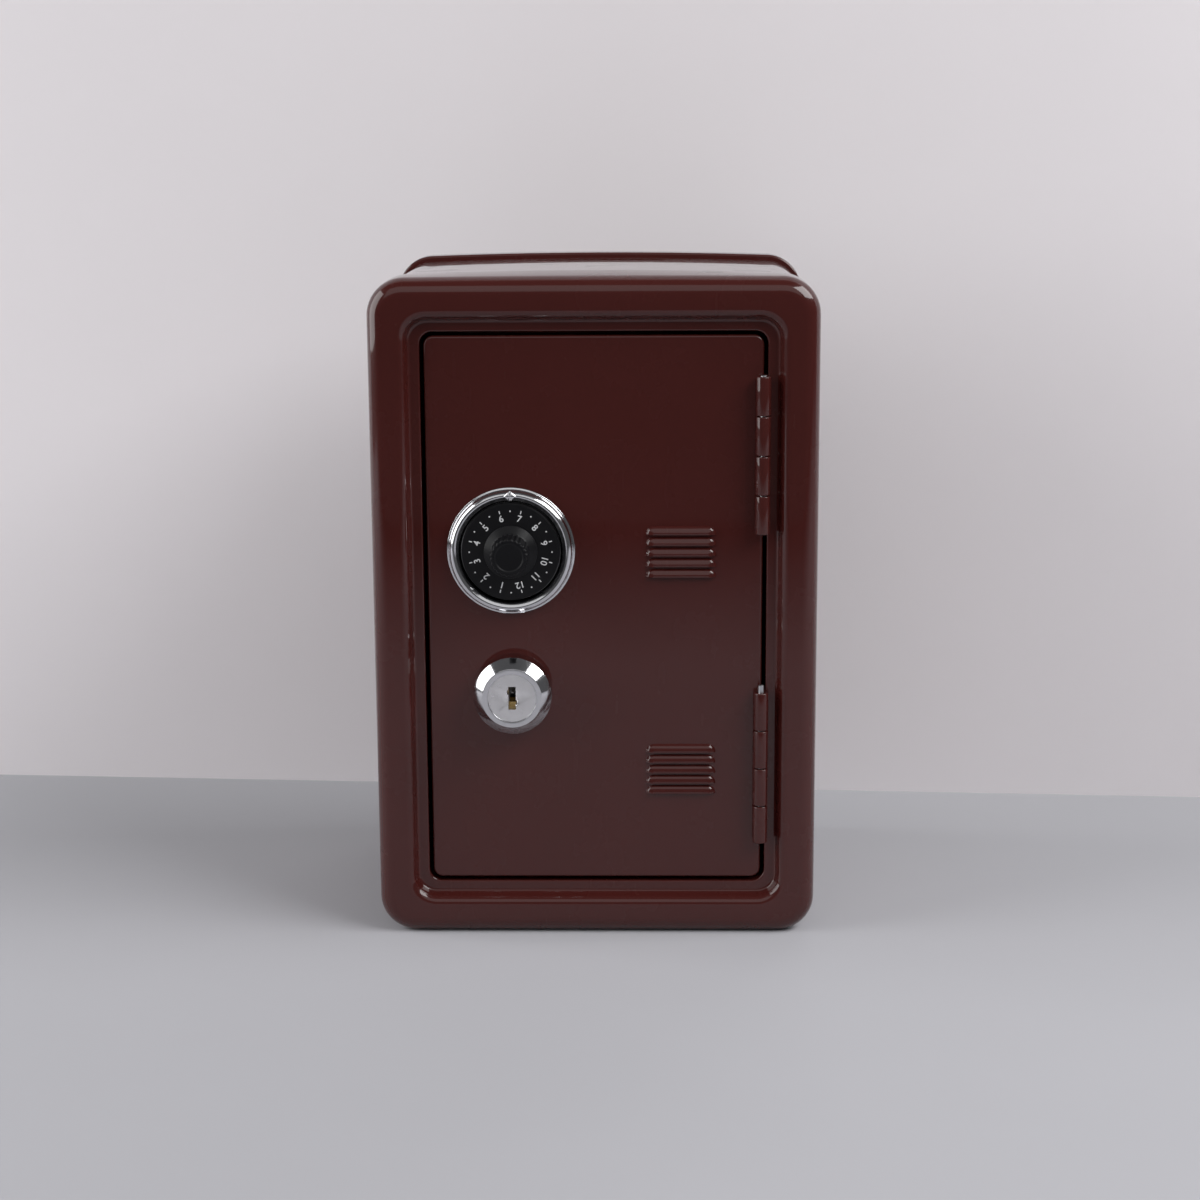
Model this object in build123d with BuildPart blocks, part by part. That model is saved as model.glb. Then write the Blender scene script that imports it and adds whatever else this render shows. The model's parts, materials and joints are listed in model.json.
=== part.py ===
from build123d import *

import os

# A small sheet-metal safe with a hinged door, a click dial and a cam lock.
# Millimetres. X is to the right, Y runs from front to back and Z is up.
# The origin is on the surface that it stands on, under the middle of the whole, knob included.

os.makedirs("parts", exist_ok=True)

# Body
width = 120.0
depth = 100.0
side_height = 180.2
top_crown = 1.3
corner_radius = 10.0
sheet = 0.8

# Pressed rims at the front and the back
front_rim_depth = 13.0
back_rim_depth = 12.0
rim_round = 4.5
crest_round = 2.5
hidden_rim_chamfer = 2.1
hidden_crest_chamfer = 0.7
pocket_recess = 3.5
pocket_slope = 1.5
pocket_corner = 5.0
sleeve_step = 2.7
spigot_length = 6.0
spigot_fit = 0.05

# Opening and door
side_border = 13.8
end_border = 14.2
opening_corner = 3.5
ledge_width = 2.9
flange_depth = 8.0
door_gap = 1.1
door_sheet = 0.8
door_depth = 7.0
door_corner = 2.6
door_edge_chamfer = 0.5

# Coin slot in the top
coin_slot_length = 38.0
coin_slot_width = 3.5
coin_slot_from_middle = 27.0

# Hinges
hinge_length = 42.5
hinge_from_end = 11.75
knuckle_count = 4
knuckle_radius = 2.0
knuckle_gap = 0.25
knuckle_clearance = 0.1
pin_inset = 0.2
pin_radius = 0.8
pin_fit = 0.05
pin_chamfer = 0.2
leaf_sheet = 0.5
leaf_reach = 5.5
leaf_margin = 0.15
leaf_root = 1.2
upper_pin_above = 0.2
lower_pin_above = 2.0

# Louvres, placed from the door's right edge and from its middle height
louvre_from_edge = 21.9
upper_louvre_rise = 16.7
lower_louvre_drop = 43.7
louvre_rows = 5
louvre_pitch = 2.9
louvre_length = 19.0
louvre_height = 2.3
louvre_proud = 1.1
louvre_crown_height = 1.6
louvre_crown_proud = 0.75
louvre_wall = 0.35

# Dial, placed from the door's left edge and from its middle height
dial_from_edge = 22.6
dial_rise = 17.1
bezel_radius = 17.25
bezel_inner = 13.5
bezel_flange = 0.7
bezel_step = 0.55
bezel_shoulder = 0.95
bezel_shoulder_height = 2.5
bezel_floor = 0.9
bezel_crest = 3.2
bezel_crest_width = 1.9
bezel_lip = 0.45
bezel_lip_height = 2.35
index_width = 1.6
index_length = 3.4
index_height = 0.6
index_taper = 22.0
disc_gap = 0.3
disc_thickness = 1.2
disc_chamfer = 0.3
knob_radius = 5.1
knob_height = 8.5
knob_chamfer = 0.6
knob_foot_radius = 7.2
knob_foot = 0.35
knob_flare = 1.5
knob_bore = 5.95
flute_count = 24
flute_radius = 0.45
flute_depth = 0.3
spindle_radius = 2.0
spindle_fit = 0.05
spindle_play = 0.1
click_teeth = 12
click_radius = 6.0
click_root = 5.2
click_thickness = 1.2
click_gap = 0.3
spring_sheet = 0.4
spring_width = 4.0
spring_foot = 5.0
washer_thickness = 0.5
washer_radius = 4.0
spindle_nut_flats = 7.0
spindle_nut_thickness = 2.4
spindle_tail = 0.8
spindle_chamfer = 0.3

# Screws that hold the bezel from behind
screw_spacing = 30.6
screw_radius = 0.8
screw_fit = 0.05
screw_bite = 1.6
screw_head_radius = 1.9
screw_head = 1.1
screw_hole_play = 0.3

# Lock, placed from the door's left edge and from its middle height
lock_from_edge = 22.8
lock_drop = 21.8
collar_radius = 10.6
collar_face_radius = 8.05
collar_height = 8.5
collar_lip = 0.8
collar_chamfer = 0.4
barrel_radius = 8.0
barrel_depth = 8.0
barrel_play = 0.1
plug_radius = 6.5
plug_head = 2.2
plug_body_radius = 5.6
plug_play = 0.05
plug_recess = 0.2
keyway_width = 2.0
keyway_height = 6.3
keyway_step = 0.7
dish_radius = 2.5
dish_depth = 0.5
wafer_count = 4
wafer_pitch = 2.4
wafer_start_depth = 3.4
wafer_thickness = 0.6
wafer_width = 4.2
wafer_height = 9.4
wafer_window_width = 2.2
wafer_window_height = 4.6
wafer_stagger = 0.5
wafer_fit = 0.05
tooth_washer_radius = 11.0
tooth_washer_thickness = 0.8
tooth_count = 16
tooth_notch = 0.6
lock_nut_flats = 19.0
lock_nut_thickness = 3.0
tail_flats = 5.0
tail_fit = 0.05
cam_gap = 0.3
cam_thickness = 1.5
cam_width = 9.0
cam_reach = 27.5
cam_washer_thickness = 0.6
cam_washer_radius = 4.4
cam_screw_radius = 1.5
cam_screw_bite = 5.0
cam_screw_head = 2.0
cam_screw_head_radius = 3.0
cam_screw_chamfer = 0.5
driver_slot = 0.7

# Places worked out from the sizes above
opening_width = width - 2 * side_border
opening_height = side_height - 2 * end_border
opening_middle = side_height / 2
knob_reach = bezel_floor + disc_gap + disc_thickness + knob_height
front_reach = max(knob_reach, collar_height) - pocket_recess
middle_y = front_reach / 2
front_y = middle_y - depth / 2
coin_slot_y = middle_y + coin_slot_from_middle
face_y = front_y + pocket_recess
door_back_y = face_y + door_sheet
front_joint_y = front_y + front_rim_depth
back_joint_y = middle_y + depth / 2 - back_rim_depth
door_width = opening_width - 2 * door_gap
door_height = opening_height - 2 * door_gap
pin_x = door_width / 2 - pin_inset
pin_y = face_y - knuckle_radius - knuckle_clearance
knuckle_pitch = hinge_length / knuckle_count
lower_hinge_z = end_border + hinge_from_end
upper_hinge_z = side_height - end_border - hinge_from_end - hinge_length
door_leaf_x = door_width / 2
frame_leaf_x = opening_width / 2 - leaf_sheet
louvre_x = door_width / 2 - louvre_from_edge
louvre_half_run = louvre_length / 2 - louvre_height
louvre_groups = (opening_middle + upper_louvre_rise, opening_middle - lower_louvre_drop)
dial_x = dial_from_edge - door_width / 2
dial_z = opening_middle + dial_rise
lock_x = lock_from_edge - door_width / 2
lock_z = opening_middle - lock_drop
disc_y = face_y - bezel_floor - disc_gap
knob_y = disc_y - disc_thickness
click_y = door_back_y + click_gap
washer_y = click_y + click_thickness
spindle_nut_y = washer_y + washer_thickness
spindle_end_y = spindle_nut_y + spindle_nut_thickness + spindle_tail
disc_radius = bezel_inner - disc_gap
collar_y = face_y - collar_height
plug_y = collar_y + plug_recess
barrel_end_y = face_y + barrel_depth
cam_y = max(barrel_end_y, face_y + flange_depth) + cam_gap
tail_end_y = cam_y + cam_thickness


def front_plane(y, x=0.0, z=0.0):
    """A plane that faces forwards at depth y, with X to the right and Z up."""
    return Plane(origin=(x, y, z), x_dir=(1, 0, 0), z_dir=(0, -1, 0))


def section_plane(x, y, z):
    """A plane through a turned piece's axis: radius to the right, height forwards."""
    return Plane(origin=(x, y, z), x_dir=(1, 0, 0), z_dir=(0, 0, -1))


def turned(x, y, z, profile):
    """A solid turned about the line through (x, z), from pairs of radius and height."""
    with BuildPart() as piece:
        with BuildSketch(section_plane(x, y, z)):
            with BuildLine():
                Polyline(*profile, close=True)
            make_face()
        revolve(axis=Axis((x, y, z), (0, -1, 0)))
    return piece.part


def body_outline(y, inset):
    """The body's outline with its crowned top, at depth y and moved in by inset."""
    half = width / 2 - inset
    shoulder = side_height - inset
    with BuildSketch(front_plane(y)) as outline:
        with BuildLine():
            sides = Polyline((-half, shoulder), (-half, inset), (half, inset), (half, shoulder))
            ThreePointArc(sides @ 1, (0, shoulder + top_crown), sides @ 0)
        make_face()
        fillet(outline.vertices(), corner_radius - inset)
    return outline.sketch


def opening_outline(y, grow, corner):
    """A rounded rectangle round the door opening, at depth y and larger by grow."""
    with BuildSketch(front_plane(y, 0.0, opening_middle)) as outline:
        RectangleRounded(opening_width + 2 * grow, opening_height + 2 * grow, corner)
    return outline.sketch


def crest_wire(form):
    """The edge between the rim's front face and the pocket's slope."""
    return form.faces().sort_by(Axis.Y)[0].inner_wires()[0].edges()


def pressed_form(inset, rim_depth):
    """The pressed rim with its pocket as a solid, still with sharp bends, moved in by inset."""
    top_y = front_y + inset
    floor_y = face_y + inset
    floor_grow = ledge_width + inset
    mouth_grow = floor_grow + pocket_slope
    with BuildPart() as form:
        extrude(body_outline(top_y, inset), amount=inset - rim_depth)
        loft(
            [
                opening_outline(top_y, mouth_grow, pocket_corner + pocket_slope + inset).face(),
                opening_outline(floor_y, floor_grow, pocket_corner + inset).face(),
            ],
            mode=Mode.SUBTRACT,
        )
    return form.part


def outer_skin(rim_depth):
    """The rim's outside, with a round along every bend."""
    with BuildPart() as skin:
        add(pressed_form(0.0, rim_depth))
        fillet(skin.faces().sort_by(Axis.Y)[0].outer_wire().edges(), rim_round)
        fillet(crest_wire(skin), crest_round)
    return skin.part


def inner_skin(rim_depth):
    """The rim's hidden inside, where each bend is one flat to keep the mesh light."""
    with BuildPart() as skin:
        add(pressed_form(sheet, rim_depth))
        chamfer(skin.faces().sort_by(Axis.Y)[0].outer_wire().edges(), hidden_rim_chamfer)
        chamfer(crest_wire(skin), hidden_crest_chamfer)
    return skin.part


def pressed_shell(rim_depth):
    """A pressed rim of sheet, closed in front, with the spigot that goes into the sleeve."""
    joint_y = front_y + rim_depth
    spigot_inset = sleeve_step + sheet + spigot_fit
    outside = outer_skin(rim_depth)
    inside = inner_skin(rim_depth)
    with BuildPart() as shell:
        add(outside)
        add(inside, mode=Mode.SUBTRACT)
        with BuildSketch(front_plane(joint_y)):
            add(body_outline(joint_y, 0.0))
            add(body_outline(joint_y, spigot_inset + sheet), mode=Mode.SUBTRACT)
        extrude(amount=sheet)
        with BuildSketch(front_plane(joint_y + spigot_length)):
            add(body_outline(joint_y + spigot_length, spigot_inset))
            add(body_outline(joint_y + spigot_length, spigot_inset + sheet), mode=Mode.SUBTRACT)
        extrude(amount=spigot_length + sheet)
    return shell.part


# Front frame: the pressed rim, opened for the door, with a flange turned back round the opening.
front_shell = pressed_shell(front_rim_depth)
with BuildPart() as front_frame:
    add(front_shell)
    extrude(opening_outline(face_y, sheet, opening_corner + sheet), amount=-flange_depth)
    extrude(opening_outline(face_y, 0.0, opening_corner), amount=-flange_depth, mode=Mode.SUBTRACT)
front_frame.part.label = "front_frame"
export_step(front_frame.part, "parts/front_frame.step")

# Back panel: the same pressing left closed, facing backwards.
back_shell = pressed_shell(back_rim_depth)
with BuildPart() as back_panel:
    add(mirror(back_shell, about=Plane.XZ.offset(-middle_y)))
back_panel.part.label = "back_panel"
export_step(back_panel.part, "parts/back_panel.step")

# Sleeve: one wrapped sheet between the two rims, with the coin slot in its top.
with BuildPart() as body_sleeve:
    with BuildSketch(front_plane(back_joint_y)):
        add(body_outline(back_joint_y, sleeve_step))
        add(body_outline(back_joint_y, sleeve_step + sheet), mode=Mode.SUBTRACT)
    extrude(amount=back_joint_y - front_joint_y)
    with BuildSketch(Plane.XY.offset(side_height / 2)):
        with Locations((0, coin_slot_y)):
            SlotOverall(coin_slot_length, coin_slot_width)
    extrude(amount=side_height, mode=Mode.SUBTRACT)
body_sleeve.part.label = "body_sleeve"
export_step(body_sleeve.part, "parts/body_sleeve.step")


def louvre_section(end_x, lip_z, shrink):
    """The hood's crowned section, square to X, or its hollow's when made smaller by shrink."""
    rise = louvre_height - shrink
    proud = louvre_proud - shrink
    crown_height = louvre_crown_height - shrink
    crown_proud = louvre_crown_proud - shrink
    side_plane = Plane(origin=(end_x, face_y, lip_z), x_dir=(0, -1, 0), z_dir=(-1, 0, 0))
    with BuildSketch(side_plane) as section:
        with BuildLine():
            Polyline((0, 0), (proud, 0), (crown_proud, crown_height), (0, rise), close=True)
        make_face()
    return section.sketch


def louvre_hood(lip_z):
    """A pressed hood: a straight run, and a quarter turn at each end that closes it."""
    right_section = louvre_section(louvre_x + louvre_half_run, lip_z, 0.0)
    left_section = louvre_section(louvre_x - louvre_half_run, lip_z, 0.0)
    right_axis = Axis((louvre_x + louvre_half_run, face_y, lip_z), (0, 1, 0))
    left_axis = Axis((louvre_x - louvre_half_run, face_y, lip_z), (0, 1, 0))
    with BuildPart() as hood:
        extrude(right_section, amount=2 * louvre_half_run)
        revolve(right_section, axis=right_axis, revolution_arc=90)
        revolve(left_section, axis=left_axis, revolution_arc=-90)
    return hood.part


def louvre_hollow(lip_z):
    """The hollow under a hood's straight run, open below."""
    section = louvre_section(louvre_x + louvre_half_run, lip_z, louvre_wall)
    return extrude(section, amount=2 * louvre_half_run)


louvre_offsets = [(row - (louvre_rows - 1) / 2) * louvre_pitch for row in range(louvre_rows)]
louvre_lips = [
    group + offset - louvre_height / 2 for group in louvre_groups for offset in louvre_offsets
]
hoods = [louvre_hood(lip) for lip in louvre_lips]
hollows = [louvre_hollow(lip) for lip in louvre_lips]

# Door: a pressed pan with louvres that open downwards, and the holes for dial and lock.
with BuildPart() as door_panel:
    with BuildSketch(front_plane(face_y, 0.0, opening_middle)):
        RectangleRounded(door_width, door_height, door_corner)
    extrude(amount=-door_depth)
    chamfer(door_panel.faces().sort_by(Axis.Y)[0].edges(), door_edge_chamfer)
    with BuildSketch(front_plane(door_back_y, 0.0, opening_middle)):
        hollow_width = door_width - 2 * door_sheet
        hollow_height = door_height - 2 * door_sheet
        RectangleRounded(hollow_width, hollow_height, door_corner - door_sheet)
    extrude(amount=-door_depth, mode=Mode.SUBTRACT)
    add(hoods)
    add(hollows, mode=Mode.SUBTRACT)
    for lip_z in louvre_lips:
        gap_height = louvre_height - louvre_wall
        with BuildSketch(front_plane(face_y, louvre_x, lip_z + gap_height / 2)):
            Rectangle(2 * louvre_half_run, gap_height)
        extrude(amount=-door_sheet, mode=Mode.SUBTRACT)
    with BuildSketch(front_plane(face_y)):
        with Locations((dial_x, dial_z)):
            Circle(spindle_radius + spindle_play)
            with GridLocations(screw_spacing, 1, 2, 1):
                Circle(screw_radius + screw_hole_play)
        with Locations((lock_x, lock_z)):
            Circle(barrel_radius + barrel_play)
    extrude(amount=-door_sheet, mode=Mode.SUBTRACT)
door_panel.part.label = "door_panel"
export_step(door_panel.part, "parts/door_panel.step")


def hinge_leaf(bottom_z, leaf_x, own_knuckles):
    """A leaf beside the door gap, with its rolled knuckles on the pin's line."""
    plate_y = pin_y + knuckle_radius + leaf_margin
    plate_end_y = face_y + leaf_reach
    strip_y = pin_y + leaf_root
    leaf_middle_x = leaf_x + leaf_sheet / 2
    with BuildPart() as leaf:
        with BuildSketch(Plane.XY.offset(bottom_z)):
            with Locations((leaf_middle_x, (plate_y + plate_end_y) / 2)):
                Rectangle(leaf_sheet, plate_end_y - plate_y)
        extrude(amount=hinge_length)
        for knuckle in own_knuckles:
            with BuildSketch(Plane.XY.offset(bottom_z + knuckle * knuckle_pitch + knuckle_gap / 2)):
                with Locations((pin_x, pin_y)):
                    Circle(knuckle_radius)
                with Locations((leaf_middle_x, (strip_y + plate_y) / 2)):
                    Rectangle(leaf_sheet, plate_y - strip_y)
                with Locations((pin_x, pin_y)):
                    Circle(pin_radius + pin_fit, mode=Mode.SUBTRACT)
            extrude(amount=knuckle_pitch - knuckle_gap)
    return leaf.part


def hinge_pin(bottom_z, above):
    """A straight pin through the knuckles, standing above the barrel."""
    with BuildPart() as pin:
        with BuildSketch(Plane.XY.offset(bottom_z)):
            with Locations((pin_x, pin_y)):
                Circle(pin_radius)
        extrude(amount=hinge_length + above)
        chamfer(pin.faces().sort_by(Axis.Z)[-1].edges(), pin_chamfer)
    return pin.part


# Hinges: the door carries the first and third knuckles from the top, the frame the others.
door_knuckles = (1, 3)
frame_knuckles = (0, 2)
hinges = (("upper", upper_hinge_z, upper_pin_above), ("lower", lower_hinge_z, lower_pin_above))
for place, bottom_z, above in hinges:
    door_leaf = hinge_leaf(bottom_z, door_leaf_x, door_knuckles)
    door_leaf.label = place + "_hinge_door_leaf"
    export_step(door_leaf, "parts/" + door_leaf.label + ".step")
    frame_leaf = hinge_leaf(bottom_z, frame_leaf_x, frame_knuckles)
    frame_leaf.label = place + "_hinge_frame_leaf"
    export_step(frame_leaf, "parts/" + frame_leaf.label + ".step")
    pin = hinge_pin(bottom_z, above)
    pin.label = place + "_hinge_pin"
    export_step(pin, "parts/" + pin.label + ".step")

# Dial bezel: a turned ring with a thin flange, a crest and a raised index mark at its top.
bezel_bore = spindle_radius + spindle_play
bezel_crest_radius = bezel_radius - bezel_crest_width
bezel_turned = turned(
    dial_x,
    face_y,
    dial_z,
    [
        (bezel_inner, bezel_floor),
        (bezel_bore, bezel_floor),
        (bezel_bore, 0),
        (bezel_radius, 0),
        (bezel_radius, bezel_flange),
        (bezel_radius - bezel_step, bezel_flange),
        (bezel_radius - bezel_shoulder, bezel_shoulder_height),
        (bezel_crest_radius, bezel_crest),
        (bezel_inner + bezel_lip, bezel_lip_height),
    ],
)
with BuildPart() as dial_bezel:
    add(bezel_turned)
    with BuildSketch(front_plane(face_y - bezel_shoulder_height, dial_x, dial_z + bezel_crest_radius)):
        with BuildLine():
            Polyline(
                (index_width / 2, 0),
                (0, index_length / 2),
                (-index_width / 2, 0),
                (0, -index_length / 2),
                close=True,
            )
        make_face()
    extrude(amount=bezel_crest - bezel_shoulder_height + index_height, taper=index_taper)
    with BuildSketch(front_plane(face_y)):
        with Locations((dial_x, dial_z)):
            with GridLocations(screw_spacing, 1, 2, 1):
                Circle(screw_radius + screw_fit)
    extrude(amount=screw_bite + screw_fit, mode=Mode.SUBTRACT)
dial_bezel.part.label = "dial_bezel"
export_step(dial_bezel.part, "parts/dial_bezel.step")

# Two screws from behind the door into the bezel.
with BuildPart() as bezel_screws:
    with BuildSketch(front_plane(door_back_y)):
        with Locations((dial_x, dial_z)):
            with GridLocations(screw_spacing, 1, 2, 1):
                Circle(screw_radius)
    extrude(amount=door_sheet + screw_bite)
    with BuildSketch(front_plane(door_back_y + screw_head)):
        with Locations((dial_x, dial_z)):
            with GridLocations(screw_spacing, 1, 2, 1):
                Circle(screw_head_radius)
    extrude(amount=screw_head)
bezel_screws.part.label = "bezel_screws"
export_step(bezel_screws.part, "parts/bezel_screws.step")

# Dial disc: the flat black disc that the numbers are on.
with BuildPart() as dial_disc:
    with BuildSketch(front_plane(disc_y, dial_x, dial_z)):
        Circle(disc_radius)
        Circle(spindle_radius + spindle_fit, mode=Mode.SUBTRACT)
    extrude(amount=disc_thickness)
    chamfer(dial_disc.faces().sort_by(Axis.Y)[0].outer_wire().edges(), disc_chamfer)
dial_disc.part.label = "dial_disc"
export_step(dial_disc.part, "parts/dial_disc.step")

# Dial knob: a fluted grip with a flared foot, on the end of the spindle.
knob_turned = turned(
    dial_x,
    knob_y,
    dial_z,
    [
        (spindle_radius + spindle_fit, knob_bore),
        (spindle_radius + spindle_fit, 0),
        (knob_foot_radius, 0),
        (knob_foot_radius, knob_foot),
        (knob_radius, knob_flare),
        (knob_radius, knob_height - knob_chamfer),
        (knob_radius - knob_chamfer, knob_height),
        (0, knob_height),
        (0, knob_bore),
    ],
)
with BuildPart() as dial_knob:
    add(knob_turned)
    with BuildSketch(front_plane(knob_y - knob_flare, dial_x, dial_z)):
        with PolarLocations(knob_radius + flute_radius - flute_depth, flute_count):
            RegularPolygon(flute_radius, 6)
    extrude(amount=knob_height, mode=Mode.SUBTRACT)
dial_knob.part.label = "dial_knob"
export_step(dial_knob.part, "parts/dial_knob.step")

# Spindle: runs from the knob through the bezel and the door.
with BuildPart() as dial_spindle:
    with BuildSketch(front_plane(spindle_end_y, dial_x, dial_z)):
        Circle(spindle_radius)
    extrude(amount=spindle_end_y - knob_y + knob_bore - spindle_fit)
    chamfer(dial_spindle.faces().sort_by(Axis.Y)[-1].edges(), spindle_chamfer)
dial_spindle.part.label = "dial_spindle"
export_step(dial_spindle.part, "parts/dial_spindle.step")

# Click wheel: a notch for every number, behind the door.
with BuildPart() as click_wheel:
    with BuildSketch(front_plane(click_y, dial_x, dial_z)):
        Circle(click_radius)
        with PolarLocations(click_radius, click_teeth):
            RegularPolygon(click_radius - click_root, 4, mode=Mode.SUBTRACT)
        Circle(spindle_radius + spindle_fit, mode=Mode.SUBTRACT)
    extrude(amount=-click_thickness)
click_wheel.part.label = "click_wheel"
export_step(click_wheel.part, "parts/click_wheel.step")

# Click spring: a foot on the door's back and a finger that stands just off the wheel.
finger_z = dial_z - click_radius - click_gap - spring_sheet / 2
finger_depth = click_gap + click_thickness
with BuildPart() as click_spring:
    with BuildSketch(front_plane(door_back_y, dial_x, finger_z - spring_foot / 2 + spring_sheet / 2)):
        Rectangle(spring_width, spring_foot)
    extrude(amount=-spring_sheet)
    with BuildSketch(front_plane(door_back_y, dial_x, finger_z)):
        Rectangle(spring_width, spring_sheet)
    extrude(amount=-finger_depth)
click_spring.part.label = "click_spring"
export_step(click_spring.part, "parts/click_spring.step")

# Washer and nut that hold the spindle.
with BuildPart() as spindle_washer:
    with BuildSketch(front_plane(washer_y, dial_x, dial_z)):
        Circle(washer_radius)
        Circle(spindle_radius + spindle_fit, mode=Mode.SUBTRACT)
    extrude(amount=-washer_thickness)
spindle_washer.part.label = "spindle_washer"
export_step(spindle_washer.part, "parts/spindle_washer.step")

with BuildPart() as spindle_nut:
    with BuildSketch(front_plane(spindle_nut_y, dial_x, dial_z)):
        RegularPolygon(spindle_nut_flats / 2, 6, major_radius=False)
        Circle(spindle_radius + spindle_fit, mode=Mode.SUBTRACT)
    extrude(amount=-spindle_nut_thickness)
spindle_nut.part.label = "spindle_nut"
export_step(spindle_nut.part, "parts/spindle_nut.step")

# Lock housing: a conical collar in front of the door and a barrel through it.
head_bore = plug_radius + plug_play
body_bore = plug_body_radius + plug_play
head_floor = collar_height - plug_head - plug_recess
housing_turned = turned(
    lock_x,
    face_y,
    lock_z,
    [
        (body_bore, head_floor),
        (body_bore, -barrel_depth),
        (barrel_radius, -barrel_depth),
        (barrel_radius, 0),
        (collar_radius, 0),
        (collar_radius, collar_lip),
        (collar_face_radius, collar_height),
        (head_bore, collar_height),
        (head_bore, head_floor),
    ],
)
with BuildPart() as lock_housing:
    add(housing_turned)
    chamfer(lock_housing.faces().sort_by(Axis.Y)[0].outer_wire().edges(), collar_chamfer)
lock_housing.part.label = "lock_housing"
export_step(lock_housing.part, "parts/lock_housing.step")

# Lock plug: the turning plug with its keyway, wafer slots and flat-sided tail.
wafer_ys = [plug_y + wafer_start_depth + index * wafer_pitch for index in range(wafer_count)]
plug_turned = turned(
    lock_x,
    plug_y,
    lock_z,
    [
        (0, 0),
        (plug_radius, 0),
        (plug_radius, -plug_head),
        (plug_body_radius, -plug_head),
        (plug_body_radius, plug_y - barrel_end_y - cam_gap / 2),
        (0, plug_y - barrel_end_y - cam_gap / 2),
    ],
)
dish = turned(lock_x, plug_y, lock_z, [(0, 0), (dish_radius, 0), (0, -dish_depth)])
with BuildPart() as lock_plug:
    add(plug_turned)
    add(dish, mode=Mode.SUBTRACT)
    with BuildSketch(front_plane(tail_end_y, lock_x, lock_z)):
        Rectangle(tail_flats, tail_flats)
    extrude(amount=tail_end_y - barrel_end_y)
    with BuildSketch(front_plane(plug_y, lock_x, lock_z)):
        Rectangle(keyway_width, keyway_height)
        with Locations((-keyway_step / 2, keyway_height / 4)):
            Rectangle(keyway_width, keyway_height / 5)
        with Locations((keyway_step / 2, -keyway_height / 5)):
            Rectangle(keyway_width, keyway_height / 5)
    extrude(amount=plug_y - barrel_end_y + plug_head, mode=Mode.SUBTRACT)
    for wafer_y in wafer_ys:
        with BuildSketch(front_plane(wafer_y, lock_x, lock_z)):
            Rectangle(wafer_width + 2 * wafer_fit, wafer_height + 2 * wafer_fit + 2 * wafer_stagger)
        extrude(amount=-wafer_thickness - 2 * wafer_fit, mode=Mode.SUBTRACT)
    with BuildSketch(front_plane(tail_end_y, lock_x, lock_z)):
        Circle(cam_screw_radius + screw_fit)
    extrude(amount=cam_screw_bite + screw_fit, mode=Mode.SUBTRACT)
lock_plug.part.label = "lock_plug"
export_step(lock_plug.part, "parts/lock_plug.step")

# Wafers: thin brass plates in the plug, each with a window for the key.
with BuildPart() as lock_wafers:
    for index, wafer_y in enumerate(wafer_ys):
        lift = wafer_stagger * (-1) ** index
        with BuildSketch(front_plane(wafer_y + wafer_fit, lock_x, lock_z + lift)):
            Rectangle(wafer_width, wafer_height)
            Rectangle(wafer_window_width, wafer_window_height, mode=Mode.SUBTRACT)
        extrude(amount=-wafer_thickness)
lock_wafers.part.label = "lock_wafers"
export_step(lock_wafers.part, "parts/lock_wafers.step")

# Toothed washer and nut that clamp the barrel to the door.
with BuildPart() as lock_tooth_washer:
    with BuildSketch(front_plane(door_back_y, lock_x, lock_z)):
        Circle(tooth_washer_radius)
        with PolarLocations(tooth_washer_radius, tooth_count):
            RegularPolygon(tooth_notch, 3, mode=Mode.SUBTRACT)
        Circle(barrel_radius + barrel_play, mode=Mode.SUBTRACT)
    extrude(amount=-tooth_washer_thickness)
lock_tooth_washer.part.label = "lock_tooth_washer"
export_step(lock_tooth_washer.part, "parts/lock_tooth_washer.step")

with BuildPart() as lock_nut:
    with BuildSketch(front_plane(door_back_y + tooth_washer_thickness, lock_x, lock_z)):
        RegularPolygon(lock_nut_flats / 2, 6, major_radius=False)
        Circle(barrel_radius + barrel_play, mode=Mode.SUBTRACT)
    extrude(amount=-lock_nut_thickness)
lock_nut.part.label = "lock_nut"
export_step(lock_nut.part, "parts/lock_nut.step")

# Cam: hangs down when unlocked, and turns behind the frame's flange to lock.
with BuildPart() as lock_cam:
    with BuildSketch(front_plane(cam_y, lock_x, lock_z)):
        Circle(cam_width / 2)
        with Locations((0, -cam_reach / 2)):
            Rectangle(cam_width, cam_reach)
        Rectangle(tail_flats + 2 * tail_fit, tail_flats + 2 * tail_fit, mode=Mode.SUBTRACT)
    extrude(amount=-cam_thickness)
    tip_edges = lock_cam.edges().filter_by(Axis.Y).group_by(Axis.Z)[0]
    fillet(tip_edges, cam_width / 4)
lock_cam.part.label = "lock_cam"
export_step(lock_cam.part, "parts/lock_cam.step")

# Washer and screw that hold the cam on the plug's tail.
with BuildPart() as cam_washer:
    with BuildSketch(front_plane(tail_end_y, lock_x, lock_z)):
        Circle(cam_washer_radius)
        Circle(cam_screw_radius + screw_fit, mode=Mode.SUBTRACT)
    extrude(amount=-cam_washer_thickness)
cam_washer.part.label = "cam_washer"
export_step(cam_washer.part, "parts/cam_washer.step")

screw_seat_y = tail_end_y + cam_washer_thickness
with BuildPart() as cam_screw:
    with BuildSketch(front_plane(screw_seat_y, lock_x, lock_z)):
        Circle(cam_screw_radius)
    extrude(amount=cam_screw_bite + cam_washer_thickness)
    with BuildSketch(front_plane(screw_seat_y, lock_x, lock_z)):
        Circle(cam_screw_head_radius)
    extrude(amount=-cam_screw_head)
    chamfer(cam_screw.faces().sort_by(Axis.Y)[-1].edges(), cam_screw_chamfer)
    with BuildSketch(front_plane(screw_seat_y + cam_screw_head, lock_x, lock_z)):
        Rectangle(2 * cam_screw_head_radius, driver_slot)
    extrude(amount=cam_screw_head / 2, mode=Mode.SUBTRACT)
cam_screw.part.label = "cam_screw"
export_step(cam_screw.part, "parts/cam_screw.step")
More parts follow.
